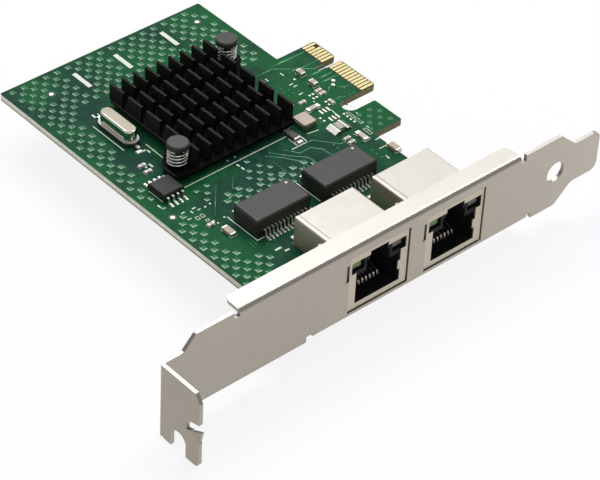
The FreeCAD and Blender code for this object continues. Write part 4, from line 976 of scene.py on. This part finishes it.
# Solder beside the ferrite beads and the crystal: x, y, length, width, height
SOLDER_HEAPS = (
    (71.55, 41.4, 1.6, 1.1, 0.4),
    (42.8, 60.05, 1.6, 1.1, 0.12),
)
END_SOLDER_MARGIN = 0.3
END_SOLDER_HEIGHT = 0.1
CHIP_ENDS = (
    "large_capacitor_ends",
    "medium_capacitor_ends",
    "long_chip_ends",
    "small_resistor_ends",
    "ferrite_bead_ends",
)


def lead_solder():
    """Solder under the feet of the leads and under the chip parts' ends."""
    bm = bmesh.new()
    for name, (count, pitch, reach, length, width, height) in FOOT_ROWS.items():
        middle = on_card(sum(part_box(name), Vector()) / 2)
        for number in range(count):
            x = middle.x + pitch * (number - (count - 1) / 2)
            for y in (middle.y - reach, middle.y + reach):
                add_pad(bm, x, y, length, width, height)
    for heap in SOLDER_HEAPS:
        add_pad(bm, *heap)
    for name in CHIP_ENDS:
        for low, high in islands(NODES[name]):
            middle = on_card((low + high) / 2)
            size = (high - low) * 1000
            length = size.x + END_SOLDER_MARGIN
            width = size.y + END_SOLDER_MARGIN
            add_pad(bm, middle.x, middle.y, length, width, END_SOLDER_HEIGHT)
    return add_piece("lead_solder", bm, "solder")


SPRING_WIRE = 0.5
SPRING_TURNS = 4.6
SPRING_STEPS = 32
SPRING_SIDES = 10


def add_coil(bm, start, end, low, high):
    """One coil of round wire in the upright box from start to end, from height low to high."""
    wire = SPRING_WIRE / 2000
    middle = (start + end) / 2
    radius = (end.x - start.x) / 2 - wire
    steps = round(SPRING_TURNS * SPRING_STEPS)
    rings = []
    for step in range(steps + 1):
        share = step / steps
        around = 2 * math.pi * SPRING_TURNS * share
        level = low + wire + (high - low - 2 * wire) * share
        ring = []
        for reach, rise in circle(radius, level, wire, SPRING_SIDES):
            ring.append(bm.verts.new((
                middle.x + reach * math.cos(around),
                middle.y + reach * math.sin(around),
                rise,
            )))
        rings.append(ring)
    for one, two in zip(rings, rings[1:]):
        join_rings(bm, one, two)
    for face in bm.faces:
        face.smooth = True
    bm.faces.new(rings[0][::-1])
    bm.faces.new(rings[-1])


def pin_springs():
    """Round wire coils between the heat sink's lugs and the heads of the push pins."""
    low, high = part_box("push_pin_springs")
    bm = bmesh.new()
    for start, end in islands(NODES["push_pin_springs"]):
        add_coil(bm, start, end, low.z, high.z)
    bmesh.ops.recalc_face_normals(bm, faces=bm.faces)
    piece = add_piece("push_pin_coils", bm, "spring_steel")
    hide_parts("push_pin_springs")
    return piece


LABEL_SHARE_X = 0.52
LABEL_SHARE_Y = 0.92
LABEL_HEIGHT = 0.03


def fuse_label():
    """Plain pale plate on the fuse's body."""
    low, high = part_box("fuse_body")
    bm = bmesh.new()
    middle = on_card((low + high) / 2)
    size = (high - low) * 1000
    top = on_card(high).z
    add_pad(bm, middle.x, middle.y, size.x * LABEL_SHARE_X, size.y * LABEL_SHARE_Y, LABEL_HEIGHT, top)
    return add_piece("fuse_label", bm, "fuse_label")


pin_springs()
fuse_label()
board_dots()
board_vias()
board_traces()
fiducials()
board_marks()
body_dots()
lead_solder()


# Floor, light and camera

# Lengths below are in metres
FLOOR_HALF = 3.0
FLOOR_GAP = 0.0002
FLOOR_COLOUR = (0.92, 0.92, 0.92, 1)
FLOOR_ROUGHNESS = 0.9
# Share of white in the floor for the camera, mirrors and glass; the rest shows the card's shadow
FLOOR_WHITE = 0.86


def join_values(tree, operation, one, two):
    """Output of a maths node for two outputs, or for an output and a number."""
    node = tree.nodes.new("ShaderNodeMath")
    node.operation = operation
    tree.links.new(one, node.inputs[0])
    if isinstance(two, float):
        node.inputs[1].default_value = two
    else:
        tree.links.new(two, node.inputs[1])
    return node.outputs[0]


def floor_material():
    """Pale paint that keeps the card's shadow and looks white to the camera, mirrors and glass."""
    material = bpy.data.materials.new("floor_paint")
    material.use_nodes = True
    tree = material.node_tree
    shader = tree.nodes["Principled BSDF"]
    shader.inputs["Base Color"].default_value = FLOOR_COLOUR
    shader.inputs["Roughness"].default_value = FLOOR_ROUGHNESS
    glow = tree.nodes.new("ShaderNodeEmission")
    glow.inputs["Strength"].default_value = 1.0
    ray = tree.nodes.new("ShaderNodeLightPath").outputs
    seen = join_values(tree, "MAXIMUM", ray["Is Camera Ray"], ray["Is Transmission Ray"])
    seen = join_values(tree, "MAXIMUM", seen, ray["Is Glossy Ray"])
    blend = tree.nodes.new("ShaderNodeMixShader")
    tree.links.new(join_values(tree, "MULTIPLY", seen, FLOOR_WHITE), blend.inputs[0])
    tree.links.new(shader.outputs[0], blend.inputs[1])
    tree.links.new(glow.outputs[0], blend.inputs[2])
    tree.links.new(blend.outputs[0], tree.nodes["Material Output"].inputs["Surface"])
    return material


def make_floor():
    """Plain pale floor under the card."""
    level = cad_box[0][2] - FLOOR_GAP
    corners = [(sx * FLOOR_HALF, sy * FLOOR_HALF, level) for sx, sy in CORNERS]
    mesh = bpy.data.meshes.new("floor")
    mesh.from_pydata(corners, [], [(0, 1, 2, 3)])
    mesh.materials.append(floor_material())
    floor = bpy.data.objects.new("floor", mesh)
    bpy.context.scene.collection.objects.link(floor)


ROOM_COLOUR = (0.98, 0.99, 1.0, 1)
ROOM_LIGHT = 0.38


def make_world():
    """Soft grey room light, the same in every direction."""
    world = bpy.data.worlds.new("studio")
    bpy.context.scene.world = world
    world.use_nodes = True
    soft = world.node_tree.nodes["Background"]
    soft.inputs["Color"].default_value = ROOM_COLOUR
    soft.inputs["Strength"].default_value = ROOM_LIGHT


LAMP_TARGET = Vector((-0.04, -0.02, 0.0))
# Direction from the card, distance, side and power
LAMPS = {
    "key": ((0.15, 0.55, 0.82), 1.2, 0.45, 6.6),
    "side": ((0.53, 0.1, 0.85), 1.2, 0.3, 3.6),
    "sheen": ((0.527, 0.558, 0.641), 1.2, 0.8, 2.0),
    "fill": ((-0.6, -1.0, 0.5), 1.4, 0.8, 2.0),
}


def make_lamp(name, direction, distance, size, power):
    """Square soft lamp in this direction from the card, facing it."""
    light = bpy.data.lights.new(name, "AREA")
    light.energy = power
    light.size = size
    lamp = bpy.data.objects.new(name, light)
    way = Vector(direction).normalized()
    lamp.location = LAMP_TARGET + way * distance
    lamp.rotation_euler = way.to_track_quat("Z", "Y").to_euler()
    bpy.context.scene.collection.objects.link(lamp)


CAMERA_PLACE = Vector((-0.338330, -0.348568, 0.352966))
CAMERA_RIGHT = Vector((0.750639, -0.659258, 0.043816))
CAMERA_FORWARD = Vector((0.527431, 0.557956, -0.640704))
LENS_LENGTH = 162.0
SENSOR_WIDTH = 36.0


def make_camera():
    """Camera at the photograph's place, fitted to the bracket and the board."""
    data = bpy.data.cameras.new("camera")
    data.lens = LENS_LENGTH
    data.sensor_width = SENSOR_WIDTH
    data.clip_start = 0.05
    data.clip_end = 20
    camera = bpy.data.objects.new("camera", data)
    up = CAMERA_RIGHT.cross(CAMERA_FORWARD).normalized()
    turn = Matrix((CAMERA_RIGHT, up, -CAMERA_FORWARD)).transposed()
    camera.matrix_world = Matrix.Translation(CAMERA_PLACE) @ turn.to_4x4()
    bpy.context.scene.collection.objects.link(camera)
    bpy.context.scene.camera = camera


make_floor()
make_world()
for name, lamp in LAMPS.items():
    make_lamp(name, *lamp)
make_camera()
bpy.context.scene.view_settings.view_transform = "Standard"

bpy.context.view_layer.update()
